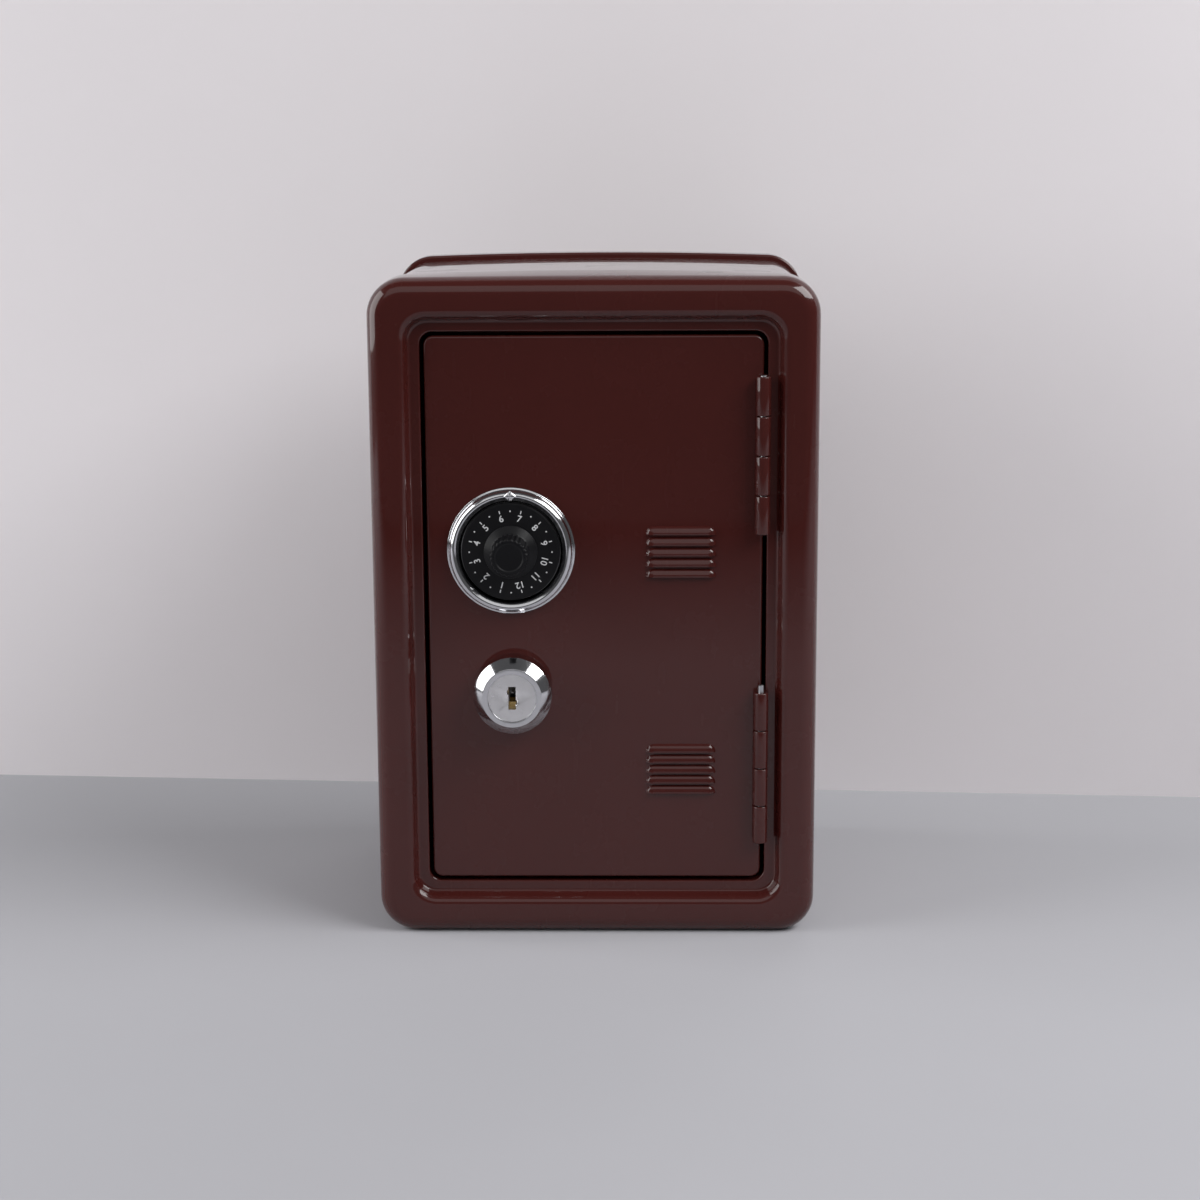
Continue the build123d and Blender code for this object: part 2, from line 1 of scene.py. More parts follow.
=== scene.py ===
# %% [markdown]
# # A small enamelled safe
# The safe is a pressed front rim, a wrapped sleeve and a pressed back, and its door has two rolled
# hinges.
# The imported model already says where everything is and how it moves. This lesson keeps those places
# and gives every piece a smooth, finely rounded form and a finish of its own.

# %% Load the frame
import json
import math

import bmesh
import bpy
from mathutils import Matrix, Vector


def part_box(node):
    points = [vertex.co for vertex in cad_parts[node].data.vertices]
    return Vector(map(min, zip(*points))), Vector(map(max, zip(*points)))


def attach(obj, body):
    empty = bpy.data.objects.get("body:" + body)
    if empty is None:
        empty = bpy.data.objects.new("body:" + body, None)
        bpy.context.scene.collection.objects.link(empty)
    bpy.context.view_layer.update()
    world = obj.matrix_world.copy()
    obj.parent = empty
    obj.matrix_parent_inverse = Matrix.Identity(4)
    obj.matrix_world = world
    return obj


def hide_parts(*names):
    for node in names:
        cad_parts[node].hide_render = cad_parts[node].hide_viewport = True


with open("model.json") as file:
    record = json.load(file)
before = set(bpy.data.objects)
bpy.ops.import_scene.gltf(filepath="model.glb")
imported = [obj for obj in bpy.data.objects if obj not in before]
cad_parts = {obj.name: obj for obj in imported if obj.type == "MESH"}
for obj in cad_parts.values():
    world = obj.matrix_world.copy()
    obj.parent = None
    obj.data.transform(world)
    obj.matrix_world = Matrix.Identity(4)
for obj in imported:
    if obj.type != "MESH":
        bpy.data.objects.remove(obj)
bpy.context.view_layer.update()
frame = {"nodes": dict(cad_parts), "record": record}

print("nodes in the frame:", len(frame["nodes"]))

# %% [markdown]
# The main places come from the frame's own boxes. A millimetre is a handy unit for sheet metal, so each
# size is written as a count of MM. HAIR is a hair's breadth, where two points must not quite meet.

# %% Measure the frame
MM = 0.001
frame_low, frame_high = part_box("front_frame")
back_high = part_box("back_panel")[1]
door_low, door_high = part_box("door_panel")
sleeve_low, sleeve_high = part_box("body_sleeve")
bezel_low, bezel_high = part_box("dial_bezel")
disc_low, disc_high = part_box("dial_disc")
knob_low, knob_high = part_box("dial_knob")
housing_low, housing_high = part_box("lock_housing")

HALF_WIDTH = frame_high.x
FRONT_Y = frame_low.y
BACK_Y = back_high.y
SIDE_HEIGHT = 180.2 * MM
CROWN = frame_high.z - SIDE_HEIGHT
POCKET_RECESS = 3.5 * MM
SHEET = 0.8 * MM
HAIR = 0.01 * MM
FACE_Y = FRONT_Y + POCKET_RECESS
FRONT_JOINT_Y = sleeve_low.y
BACK_JOINT_Y = sleeve_high.y
SLEEVE_HALF = sleeve_high.x
print("front", FRONT_Y, "door face", FACE_Y, "half width", HALF_WIDTH)

# %% [markdown]
# A sheet-metal section is a path of straight runs with a bend at each corner. This helper writes such a
# path: the corners are given, and each inner one becomes an arc of its own radius.

# %% Bent paths
def bent_path(corners, radii, steps=6):
    """Points along straight runs whose inner corners are arcs."""
    points = [Vector(corners[0])]
    for before, corner, after, radius in zip(corners, corners[1:], corners[2:], radii):
        corner = Vector(corner)
        towards = (Vector(before) - corner).normalized()
        away = (Vector(after) - corner).normalized()
        half_angle = towards.angle(away) / 2
        centre = corner + (towards + away).normalized() * radius / math.sin(half_angle)
        reach = radius / math.tan(half_angle)
        start = corner + towards * reach - centre
        end = corner + away * reach - centre
        points += [centre + start.slerp(end, step / steps) * radius for step in range(steps + 1)]
    points.append(Vector(corners[-1]))
    return points


sample = bent_path([(0, 0), (1, 0), (1, 1)], [0.3])
print("a bend of", len(sample), "points")

# %% [markdown]
# The body's outline is a rectangle with round corners, and its top edge is slightly crowned. Every ring
# has the same number of points, so one ring can be extruded to the next however its size changes.

# %% Rings
CORNER_STEPS = 12
SIDE_STEPS = 14


def rounded_ring(half_width, low, high, radius, crown=0.0):
    """Points round a rectangle with arcs for corners, as pairs of x and z."""
    inner = half_width - radius
    upper = high - radius
    lower = low + radius
    centres = [(inner, upper), (-inner, upper), (-inner, lower), (inner, lower)]
    starts = []
    arcs = []
    for quarter, (centre_x, centre_z) in enumerate(centres):
        arc = []
        for step in range(CORNER_STEPS + 1):
            angle = math.radians(90 * (quarter + step / CORNER_STEPS))
            spoke = Vector((math.cos(angle), math.sin(angle))) * radius
            arc.append(Vector((centre_x, centre_z)) + spoke)
        arcs.append(arc)
        starts.append(arc[0])
    ring = []
    for quarter, arc in enumerate(arcs):
        ring += arc
        target = starts[(quarter + 1) % 4]
        ring += [arc[-1].lerp(target, step / SIDE_STEPS) for step in range(1, SIDE_STEPS)]
    middle = (low + high) / 2
    for point in ring:
        if point.y > middle:
            point.y += crown * (1 - (point.x / half_width) ** 2)
    return ring


print("a ring has", len(rounded_ring(1, 0, 2, 0.2)), "points")

# %% [markdown]
# A pressing is grown from its first ring: the ring's edges are extruded, and the new ring is moved to
# its place. Extruding keeps the faces in neat bands, which take a highlight without ripples.

# %% Grow a pressing from rings
def grow_rings(rings):
    """A mesh of bands between rings of (x, y, z) points, and its last ring of edges."""
    mesh = bmesh.new()
    ring = [mesh.verts.new(point) for point in rings[0]]
    count = len(ring)
    edges = [mesh.edges.new((ring[i], ring[(i + 1) % count])) for i in range(count)]
    for points in rings[1:]:
        place = {vertex: i for i, vertex in enumerate(ring)}
        grown = bmesh.ops.extrude_edge_only(mesh, edges=edges)["geom"]
        edges = [item for item in grown if isinstance(item, bmesh.types.BMEdge)]
        fresh = [item for item in grown if isinstance(item, bmesh.types.BMVert)]
        ring = [None] * count
        for vertex in fresh:
            old = next(e.other_vert(vertex) for e in vertex.link_edges if e.other_vert(vertex) in place)
            ring[place[old]] = vertex
        for vertex, point in zip(ring, points):
            vertex.co = point
        members = set(ring)
        edges = [edge for edge in edges if edge.verts[0] in members and edge.verts[1] in members]
    return mesh, edges


def face_outwards(mesh, direction):
    """Turns all faces together so that the furthest one along direction looks that way."""
    bmesh.ops.recalc_face_normals(mesh, faces=mesh.faces)
    direction = Vector(direction)
    furthest = max(mesh.faces, key=lambda face: face.calc_center_median().dot(direction))
    if furthest.normal.dot(direction) < 0:
        bmesh.ops.reverse_faces(mesh, faces=mesh.faces)


# %% [markdown]
# Some pieces are easiest to make in parts, such as five hoods or a leaf with its knuckles. This helper
# puts the parts into one mesh, in the order in which they were made.

# %% Join parts
def joined(parts):
    """One bmesh made of several, which are used up."""
    whole = bmesh.new()
    for part in parts:
        holder = bpy.data.meshes.new("part")
        part.to_mesh(holder)
        part.free()
        whole.from_mesh(holder)
        bpy.data.meshes.remove(holder)
    return whole


# %% [markdown]
# A finished mesh becomes an object that rides on its body. Flat faces stay crisp and rounds go smooth,
# because only edges sharper than the given angle are marked. The helper also hides the CAD nodes that
# the piece stands for.

# %% Publish a piece
SMOOTH_ANGLE = 32


def publish(mesh, name, body, material, nodes=(), angle=SMOOTH_ANGLE):
    """Makes an object from a bmesh, with its finish and its body, and hides the nodes it stands for."""
    data = bpy.data.meshes.new(name)
    mesh.to_mesh(data)
    mesh.free()
    data.shade_smooth()
    data.set_sharp_from_angle(angle=math.radians(angle))
    piece = bpy.data.objects.new(name, data)
    bpy.context.scene.collection.objects.link(piece)
    data.materials.append(material)
    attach(piece, body)
    if nodes:
        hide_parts(*nodes)
    print(name, "has", len(data.polygons), "faces")
    return piece


def add_thickness(piece, thickness):
    """Gives an open sheet its wall, on the side away from its outward faces."""
    wall = piece.modifiers.new("wall", "SOLIDIFY")
    wall.thickness = thickness
    wall.offset = -1
    wall.use_even_offset = True
    wall.use_quality_normals = True


def settle(piece, angle=SMOOTH_ANGLE):
    """Writes a piece's modifiers into its mesh."""
    graph = bpy.context.evaluated_depsgraph_get()
    graph.update()
    solid = bpy.data.meshes.new_from_object(piece.evaluated_get(graph))
    piece.modifiers.clear()
    piece.data = solid
    solid.shade_smooth()
    solid.set_sharp_from_angle(angle=math.radians(angle))


# %% [markdown]
# Finishes come before pieces. Three effects are shared, so each is a node group that is built once:
# a cloudy mottle for colour and gloss, a dimpled skin that sprayed enamel dries to, and fine scratches.
# Each group only puts out a value, and the material decides what to do with it.

# %% Shared effects
def new_group(name, inputs, outputs):
    """A shader node group with its named sockets, and its two end nodes."""
    group = bpy.data.node_groups.new(name, "ShaderNodeTree")
    for label, kind, value in inputs:
        socket = group.interface.new_socket(name=label, in_out="INPUT", socket_type=kind)
        if value is not None:
            socket.default_value = value
    for label, kind in outputs:
        group.interface.new_socket(name=label, in_out="OUTPUT", socket_type=kind)
    start = group.nodes.new("NodeGroupInput")
    end = group.nodes.new("NodeGroupOutput")
    return group, start, end


def make_mottle():
    """Soft clouds from 0 to 1 at a size given in noise cells per metre."""
    group, start, end = new_group(
        "cloudy_mottle",
        [("Scale", "NodeSocketFloat", 40.0), ("Contrast", "NodeSocketFloat", 1.0)],
        [("Value", "NodeSocketFloat")],
    )
    place = group.nodes.new("ShaderNodeTexCoord")
    cloud = group.nodes.new("ShaderNodeTexNoise")
    cloud.inputs["Detail"].default_value = 5
    centre = group.nodes.new("ShaderNodeMath")
    centre.operation = "SUBTRACT"
    centre.inputs[1].default_value = 0.5
    spread = group.nodes.new("ShaderNodeMath")
    spread.operation = "MULTIPLY_ADD"
    spread.inputs[2].default_value = 0.5
    spread.use_clamp = True
    group.links.new(place.outputs["Object"], cloud.inputs["Vector"])
    group.links.new(start.outputs["Scale"], cloud.inputs["Scale"])
    group.links.new(cloud.outputs["Fac"], centre.inputs[0])
    group.links.new(centre.outputs[0], spread.inputs[0])
    group.links.new(start.outputs["Contrast"], spread.inputs[1])
    group.links.new(spread.outputs[0], end.inputs["Value"])
    return group


def make_dimples():
    """The shallow dimples of a sprayed and stoved skin, as a height."""
    group, start, end = new_group(
        "sprayed_dimples",
        [("Scale", "NodeSocketFloat", 900.0), ("Depth", "NodeSocketFloat", 1.0)],
        [("Height", "NodeSocketFloat")],
    )
    place = group.nodes.new("ShaderNodeTexCoord")
    cells = group.nodes.new("ShaderNodeTexNoise")
    cells.inputs["Detail"].default_value = 2
    cells.inputs["Roughness"].default_value = 0.4
    depth = group.nodes.new("ShaderNodeMath")
    depth.operation = "MULTIPLY"
    group.links.new(place.outputs["Object"], cells.inputs["Vector"])
    group.links.new(start.outputs["Scale"], cells.inputs["Scale"])
    group.links.new(cells.outputs["Fac"], depth.inputs[0])
    group.links.new(start.outputs["Depth"], depth.inputs[1])
    group.links.new(depth.outputs[0], end.inputs["Height"])
    return group


def make_scratches():
    """Thin, sparse hairlines that lean off the upright, from 0 to 1."""
    group, start, end = new_group(
        "hair_scratches",
        [("Scale", "NodeSocketFloat", 300.0), ("Amount", "NodeSocketFloat", 0.5)],
        [("Mask", "NodeSocketFloat")],
    )
    place = group.nodes.new("ShaderNodeTexCoord")
    stretch = group.nodes.new("ShaderNodeMapping")
    stretch.inputs["Scale"].default_value = (1.0, 1.0, 0.06)
    stretch.inputs["Rotation"].default_value = (0.0, 0.5, 0.0)
    lines = group.nodes.new("ShaderNodeTexNoise")
    lines.inputs["Detail"].default_value = 1
    peak = group.nodes.new("ShaderNodeMapRange")
    peak.inputs["From Min"].default_value = 0.66
    peak.inputs["From Max"].default_value = 0.72
    amount = group.nodes.new("ShaderNodeMath")
    amount.operation = "MULTIPLY"
    group.links.new(place.outputs["Object"], stretch.inputs["Vector"])
    group.links.new(stretch.outputs["Vector"], lines.inputs["Vector"])
    group.links.new(start.outputs["Scale"], lines.inputs["Scale"])
    group.links.new(lines.outputs["Fac"], peak.inputs["Value"])
    group.links.new(peak.outputs["Result"], amount.inputs[0])
    group.links.new(start.outputs["Amount"], amount.inputs[1])
    group.links.new(amount.outputs[0], end.inputs["Mask"])
    return group


MOTTLE = make_mottle()
DIMPLES = make_dimples()
SCRATCHES = make_scratches()
print("shared effects:", [group.name for group in (MOTTLE, DIMPLES, SCRATCHES)])

# %% [markdown]
# Edge wear is a mask too. It compares the true surface with one whose edges are rounded off: where the
# two differ there is an edge, and a noise breaks it up so that only some of it is rubbed.

# %% Edge wear
def make_edge_wear():
    """A mask of rubbed edges, from 0 to 1."""
    group, start, end = new_group(
        "edge_wear",
        [("Scale", "NodeSocketFloat", 500.0), ("Amount", "NodeSocketFloat", 0.5)],
        [("Mask", "NodeSocketFloat")],
    )
    rounded = group.nodes.new("ShaderNodeBevel")
    rounded.samples = 4
    rounded.inputs["Radius"].default_value = 0.35 * MM
    true_surface = group.nodes.new("ShaderNodeNewGeometry")
    agree = group.nodes.new("ShaderNodeVectorMath")
    agree.operation = "DOT_PRODUCT"
    edge = group.nodes.new("ShaderNodeMapRange")
    edge.inputs["From Min"].default_value = 0.985
    edge.inputs["From Max"].default_value = 0.88
    place = group.nodes.new("ShaderNodeTexCoord")
    rub = group.nodes.new("ShaderNodeTexNoise")
    rub.inputs["Detail"].default_value = 4
    patch = group.nodes.new("ShaderNodeMapRange")
    patch.inputs["From Min"].default_value = 0.5
    patch.inputs["From Max"].default_value = 0.68
    both = group.nodes.new("ShaderNodeMath")
    both.operation = "MULTIPLY"
    amount = group.nodes.new("ShaderNodeMath")
    amount.operation = "MULTIPLY"
    group.links.new(rounded.outputs["Normal"], agree.inputs[0])
    group.links.new(true_surface.outputs["Normal"], agree.inputs[1])
    group.links.new(agree.outputs["Value"], edge.inputs["Value"])
    group.links.new(place.outputs["Object"], rub.inputs["Vector"])
    group.links.new(start.outputs["Scale"], rub.inputs["Scale"])
    group.links.new(rub.outputs["Fac"], patch.inputs["Value"])
    group.links.new(edge.outputs["Result"], both.inputs[0])
    group.links.new(patch.outputs["Result"], both.inputs[1])
    group.links.new(both.outputs[0], amount.inputs[0])
    group.links.new(start.outputs["Amount"], amount.inputs[1])
    group.links.new(amount.outputs[0], end.inputs["Mask"])
    return group


EDGE_WEAR = make_edge_wear()
print("edge wear:", EDGE_WEAR.name)

# %% [markdown]
# A finish is a Principled shader with a few of those effects round it. This helper makes the usual
# chain: two colours mixed by the mottle, a roughness that wanders between two values, a worn colour on
# edges, and a bump from the dimples.

# %% The recipe for a finish
def place_group(tree, group, **values):
    """Puts a shared effect into a material, with its own values."""
    node = tree.nodes.new("ShaderNodeGroup")
    node.node_tree = group
    for label, value in values.items():
        node.inputs[label].default_value = value
    return node


def finish(name, colours, gloss, mottle, dimple, wear=None, scratch=0.0, steady=None):
    """A painted, plated or moulded finish; steady holds its values that are the same all over."""
    material = bpy.data.materials.new(name)
    material.use_nodes = True
    tree = material.node_tree
    shader = tree.nodes["Principled BSDF"]
    for label, value in (steady or {}).items():
        shader.inputs[label].default_value = value
    clouds = place_group(tree, MOTTLE, Scale=mottle, Contrast=1.6)
    tint = tree.nodes.new("ShaderNodeMix")
    tint.data_type = "RGBA"
    tint.inputs["A"].default_value = (*colours[0], 1)
    tint.inputs["B"].default_value = (*colours[1], 1)
    tree.links.new(clouds.outputs["Value"], tint.inputs["Factor"])
    colour = tint.outputs["Result"]
    if wear is not None:
        rubbed = place_group(tree, EDGE_WEAR, Scale=420.0, Amount=wear[0])
        worn = tree.nodes.new("ShaderNodeMix")
        worn.data_type = "RGBA"
        worn.inputs["B"].default_value = (*wear[1], 1)
        tree.links.new(rubbed.outputs["Mask"], worn.inputs["Factor"])
        tree.links.new(colour, worn.inputs["A"])
        colour = worn.outputs["Result"]
    tree.links.new(colour, shader.inputs["Base Color"])
    sheen = tree.nodes.new("ShaderNodeMapRange")
    sheen.inputs["To Min"].default_value = gloss[0]
    sheen.inputs["To Max"].default_value = gloss[1]
    patches = place_group(tree, MOTTLE, Scale=mottle * 2.7, Contrast=2.2)
    tree.links.new(patches.outputs["Value"], sheen.inputs["Value"])
    roughness = sheen.outputs["Result"]
    if scratch:
        lines = place_group(tree, SCRATCHES, Scale=520.0, Amount=scratch)
        sum_up = tree.nodes.new("ShaderNodeMath")
        sum_up.operation = "ADD"
        tree.links.new(roughness, sum_up.inputs[0])
        tree.links.new(lines.outputs["Mask"], sum_up.inputs[1])
        roughness = sum_up.outputs[0]
    tree.links.new(roughness, shader.inputs["Roughness"])
    skin = place_group(tree, DIMPLES, Scale=dimple[0], Depth=1.0)
    bump = tree.nodes.new("ShaderNodeBump")
    bump.inputs["Strength"].default_value = dimple[1]
    bump.inputs["Distance"].default_value = 0.1 * MM
    tree.links.new(skin.outputs["Height"], bump.inputs["Height"])
    tree.links.new(bump.outputs["Normal"], shader.inputs["Normal"])
    return material


# %% [markdown]
# The body's finish is a deep brown stoved enamel: a dark base under a clear, bright skin. The Coat of
# the shader is that skin. Worn edges go a little paler rather than to bare steel, as on a new safe.

# %% The finishes
METAL = {"Metallic": 1.0}

ENAMEL = finish(
    "brown_enamel",
    ((0.0520, 0.0092, 0.0074), (0.0580, 0.0108, 0.0090)),
    (0.22, 0.30),
    mottle=28.0,
    dimple=(420.0, 0.03),
    wear=(0.30, (0.095, 0.038, 0.033)),
    scratch=0.012,
    steady={"Coat Weight": 1.0, "Coat Roughness": 0.04, "Coat IOR": 1.44, "Specular IOR Level": 0.08},
)

CHROME = finish(
    "bright_chrome",
    ((0.60, 0.60, 0.62), (0.66, 0.66, 0.68)),
    (0.07, 0.14),
    mottle=180.0,
    dimple=(1500.0, 0.012),
    scratch=0.06,
    steady=METAL,
)

SATIN = finish(
    "satin_nickel",
    ((0.82, 0.81, 0.82), (0.90, 0.89, 0.90)),
    (0.26, 0.38),
    mottle=260.0,
    dimple=(2500.0, 0.04),
    wear=(0.5, (0.75, 0.75, 0.76)),
    scratch=0.12,
    steady=METAL,
)

BLACK = finish(
    "black_plastic",
    ((0.0055, 0.0055, 0.0065), (0.0075, 0.0075, 0.0085)),
    (0.30, 0.40),
    mottle=150.0,
    dimple=(2200.0, 0.05),
    wear=(0.5, (0.05, 0.05, 0.052)),
    steady={"Specular IOR Level": 0.18},
)

PRINT = finish(
    "white_print",
    ((0.62, 0.63, 0.64), (0.74, 0.75, 0.76)),
    (0.5, 0.65),
    mottle=700.0,
    dimple=(4000.0, 0.05),
)

ZINC = finish(
    "zinc_steel",
    ((0.50, 0.51, 0.53), (0.60, 0.61, 0.63)),
    (0.28, 0.42),
    mottle=240.0,
    dimple=(1800.0, 0.05),
    scratch=0.12,
    steady=METAL,
)

SPRING = finish(
    "spring_steel",
    ((0.20, 0.21, 0.26), (0.30, 0.31, 0.36)),
    (0.25, 0.38),
    mottle=300.0,
    dimple=(2000.0, 0.04),
    steady=METAL,
)

BRASS = finish(
    "stamped_brass",
    ((0.52, 0.36, 0.14), (0.62, 0.45, 0.20)),
    (0.26, 0.40),
    mottle=300.0,
    dimple=(2000.0, 0.05),
    scratch=0.1,
    steady=METAL,
)
print("finishes:", len(bpy.data.materials))

# %% [markdown]
# The front rim's section runs from the spigot inside the sleeve, out round the joint, forward along the
# skirt, over the bulge, down a short slope to the ledge and back as a flange into the opening. Outside
# the crest the rings follow the body's outline, and inside it they follow the door opening.

# %% Rim rings
OUTER_CORNER = 10.0 * MM
OPENING_HALF = 46.2 * MM
OPENING_LOW = 14.2 * MM
OPENING_HIGH = 166.0 * MM
OPENING_CORNER = 3.5 * MM
LEDGE = 2.9 * MM
POCKET_CORNER = 5.0 * MM
SLOPE_RUN = 1.5 * MM
RIM_ROUND = 4.5 * MM
SPIGOT_PLAY = 0.05 * MM
SPIGOT_HALF = SLEEVE_HALF - SHEET - SPIGOT_PLAY
SPIGOT_LENGTH = 6.0 * MM
CREST_SPLIT = HALF_WIDTH - RIM_ROUND - HAIR
FLANGE_DEPTH = 8.0 * MM
RIM_BENDS = [0.4 * MM, 0.7 * MM, RIM_ROUND, 2.5 * MM, 1.0 * MM]
FLANGE_BEND = 0.45 * MM
BEND_STEPS = 10


def body_ring(half_width, y, crown=CROWN):
    """The crowned body outline, moved in until it is half_width wide, at depth y."""
    inset = HALF_WIDTH - half_width
    flat = rounded_ring(half_width, inset, SIDE_HEIGHT - inset, OUTER_CORNER - inset, crown)
    return [Vector((point.x, y, point.y)) for point in flat]


def opening_ring(half_width, y):
    """The door opening's outline, grown until it is half_width wide, at depth y."""
    grow = half_width - OPENING_HALF
    widening = (POCKET_CORNER - OPENING_CORNER) * min(grow / LEDGE, 1)
    corner = OPENING_CORNER + widening + max(grow - LEDGE, 0)
    flat = rounded_ring(half_width, OPENING_LOW - grow, OPENING_HIGH + grow, corner)
    return [Vector((point.x, y, point.y)) for point in flat]


def crown_at(y):
    """The top's crown at depth y: it fades away over the front rim, towards the crest."""
    return CROWN * min(max((y - FRONT_Y) / (FRONT_JOINT_Y - FRONT_Y), 0.0), 1.0)


def rim_rings(section):
    """Rings for a rim's section, each from the outline that it belongs to."""
    return [
        body_ring(half, y, crown_at(y)) if half > CREST_SPLIT else opening_ring(half, y)
        for half, y in section
    ]


def rim_section(joint_y, turn, tail):
    """The rim's section as pairs of half width and depth; turn is 1 in front and -1 behind."""
    crest_y = FRONT_Y if turn > 0 else BACK_Y
    mouth = OPENING_HALF + LEDGE + SLOPE_RUN
    floor_y = crest_y + turn * POCKET_RECESS
    return [
        (SPIGOT_HALF, joint_y + turn * SPIGOT_LENGTH),
        (SPIGOT_HALF, joint_y),
        (HALF_WIDTH, joint_y),
        (HALF_WIDTH, crest_y),
        (mouth, crest_y),
        (OPENING_HALF + LEDGE, floor_y),
    ] + tail


front_tail = [(OPENING_HALF, FACE_Y), (OPENING_HALF, FACE_Y + FLANGE_DEPTH)]
front_corners = rim_section(FRONT_JOINT_Y, 1, front_tail)
front_section = bent_path(front_corners, RIM_BENDS + [FLANGE_BEND], BEND_STEPS)
print("the front rim's section has", len(front_section), "points")

# %% [markdown]
# The section is grown ring by ring and then given the sheet's thickness, inwards, so that the outside
# stays where the rings are. The top's crown fades towards the crest, and that gentle slope shows the
# wall behind as the pale band along the top. A flat top would show only a hair line of it.

# %% The front rim
front_mesh = grow_rings(rim_rings(front_section))[0]
face_outwards(front_mesh, (1, 0, 0))
front_rim = publish(front_mesh, "front_rim", "case", ENAMEL, ["front_frame"])
add_thickness(front_rim, SHEET)
settle(front_rim)

# %% [markdown]
# The back is the same pressing turned round, with its full crown and its middle left closed, so its
# last ring is filled with a face.

# %% The back panel
back_corners = rim_section(BACK_JOINT_Y, -1, [(OPENING_HALF, BACK_Y - POCKET_RECESS)])
back_section = bent_path(back_corners, RIM_BENDS, BEND_STEPS)
back_mesh, back_end = grow_rings(rim_rings(back_section))
bmesh.ops.edgeloop_fill(back_mesh, edges=back_end)
face_outwards(back_mesh, (1, 0, 0))
back_pressing = publish(back_mesh, "back_pressing", "case", ENAMEL, ["back_panel"])
add_thickness(back_pressing, SHEET)
settle(back_pressing)

# %% [markdown]
# The sleeve is one wrapped sheet between the two rims, so two rings are enough. It stands a little below
# the rims. The coin slot is cut through its top with a slender cutter whose ends are fully rounded.

# %% The sleeve and its coin slot
SLOT_LENGTH = 38.0 * MM
SLOT_WIDTH = 3.5 * MM
SLOT_BEHIND_MIDDLE = 27.0 * MM
SLOT_Y = (FRONT_Y + BACK_Y) / 2 + SLOT_BEHIND_MIDDLE
CUTTER_HEIGHT = 20.0 * MM
FULL_ROUND = 0.499
SKIN_SHARE = 0.45
SLEEVE_SKIN = SLEEVE_HALF + SKIN_SHARE * (HALF_WIDTH - SLEEVE_HALF)


def cut_from(piece, cutter_mesh):
    """Takes a closed mesh out of a piece."""
    data = bpy.data.meshes.new("cutter")
    cutter_mesh.to_mesh(data)
    cutter_mesh.free()
    cutter = bpy.data.objects.new("cutter", data)
    bpy.context.scene.collection.objects.link(cutter)
    cut = piece.modifiers.new("cut", "BOOLEAN")
    cut.operation = "DIFFERENCE"
    cut.solver = "EXACT"
    cut.object = cutter
    settle(piece)
    bpy.data.objects.remove(cutter)


def slot_cutter(centre, length, width, height):
    """A long box with fully rounded ends, standing along Z."""
    mesh = bmesh.new()
    bmesh.ops.create_cube(mesh, size=1)
    bmesh.ops.scale(mesh, vec=(length, width, height), verts=mesh.verts)
    upright = [edge for edge in mesh.edges if abs(edge.verts[0].co.z - edge.verts[1].co.z) > height / 2]
    bmesh.ops.bevel(
        mesh,
        geom=upright,
        offset=width * FULL_ROUND,
        segments=8,
        profile=0.5,
        affect="EDGES",
        material=-1,
    )
    bmesh.ops.translate(mesh, vec=centre, verts=mesh.verts)
    return mesh


sleeve_rings = [body_ring(SLEEVE_SKIN, y) for y in (FRONT_JOINT_Y, BACK_JOINT_Y)]
sleeve_mesh = grow_rings(sleeve_rings)[0]
face_outwards(sleeve_mesh, (1, 0, 0))
sleeve = publish(sleeve_mesh, "sleeve", "case", ENAMEL, ["body_sleeve"])
add_thickness(sleeve, SHEET)
settle(sleeve)
cut_from(sleeve, slot_cutter((0, SLOT_Y, SIDE_HEIGHT), SLOT_LENGTH, SLOT_WIDTH, CUTTER_HEIGHT))

# %% [markdown]
# The door is a shallow pan. Its ring starts at the back of the turned edge, comes forward, rounds over
# and closes with one flat face. Real holes then go through it for the spindle, two screws and the lock.

# %% The door pan
DOOR_HALF = door_high.x
DOOR_LOW = door_low.z
DOOR_HIGH = door_high.z
DOOR_CORNER = 2.6 * MM
DOOR_DEPTH = 7.0 * MM
DOOR_ROUND = 0.7 * MM
DOOR_LIP = 1.5 * MM
SPINDLE_HOLE = 2.15 * MM
SCREW_HOLE = 1.1 * MM
SCREW_SPACING = 15.3 * MM
LOCK_HOLE = 8.1 * MM
DIAL_X = (bezel_low.x + bezel_high.x) / 2
DIAL_Z = (disc_low.z + disc_high.z) / 2
LOCK_X = (housing_low.x + housing_high.x) / 2
LOCK_Z = (housing_low.z + housing_high.z) / 2


def door_ring(half_width, y):
    """The door's outline, moved in until it is half_width wide, at depth y."""
    inset = DOOR_HALF - half_width
    flat = rounded_ring(half_width, DOOR_LOW + inset, DOOR_HIGH - inset, DOOR_CORNER - inset)
    return [Vector((point.x, y, point.y)) for point in flat]


door_corners = [(DOOR_HALF, FACE_Y + DOOR_DEPTH), (DOOR_HALF, FACE_Y), (DOOR_HALF - DOOR_LIP, FACE_Y)]
door_section = bent_path(door_corners, [DOOR_ROUND])
door_mesh, door_end = grow_rings([door_ring(half, y) for half, y in door_section])
bmesh.ops.edgeloop_fill(door_mesh, edges=door_end)
face_outwards(door_mesh, (1, 0, 0))
door = publish(door_mesh, "door", "door", ENAMEL, ["door_panel"])
add_thickness(door, SHEET)
settle(door)


def hole_cutter(x, z, radius):
    """A round bar through the door's sheet."""
    mesh = bmesh.new()
    bmesh.ops.create_cone(
        mesh, cap_ends=True, segments=64, radius1=radius, radius2=radius, depth=8 * SHEET
    )
    place = Matrix.Translation((x, FACE_Y, z)) @ Matrix.Rotation(math.radians(90), 4, "X")
    bmesh.ops.transform(mesh, matrix=place, verts=mesh.verts)
    return mesh


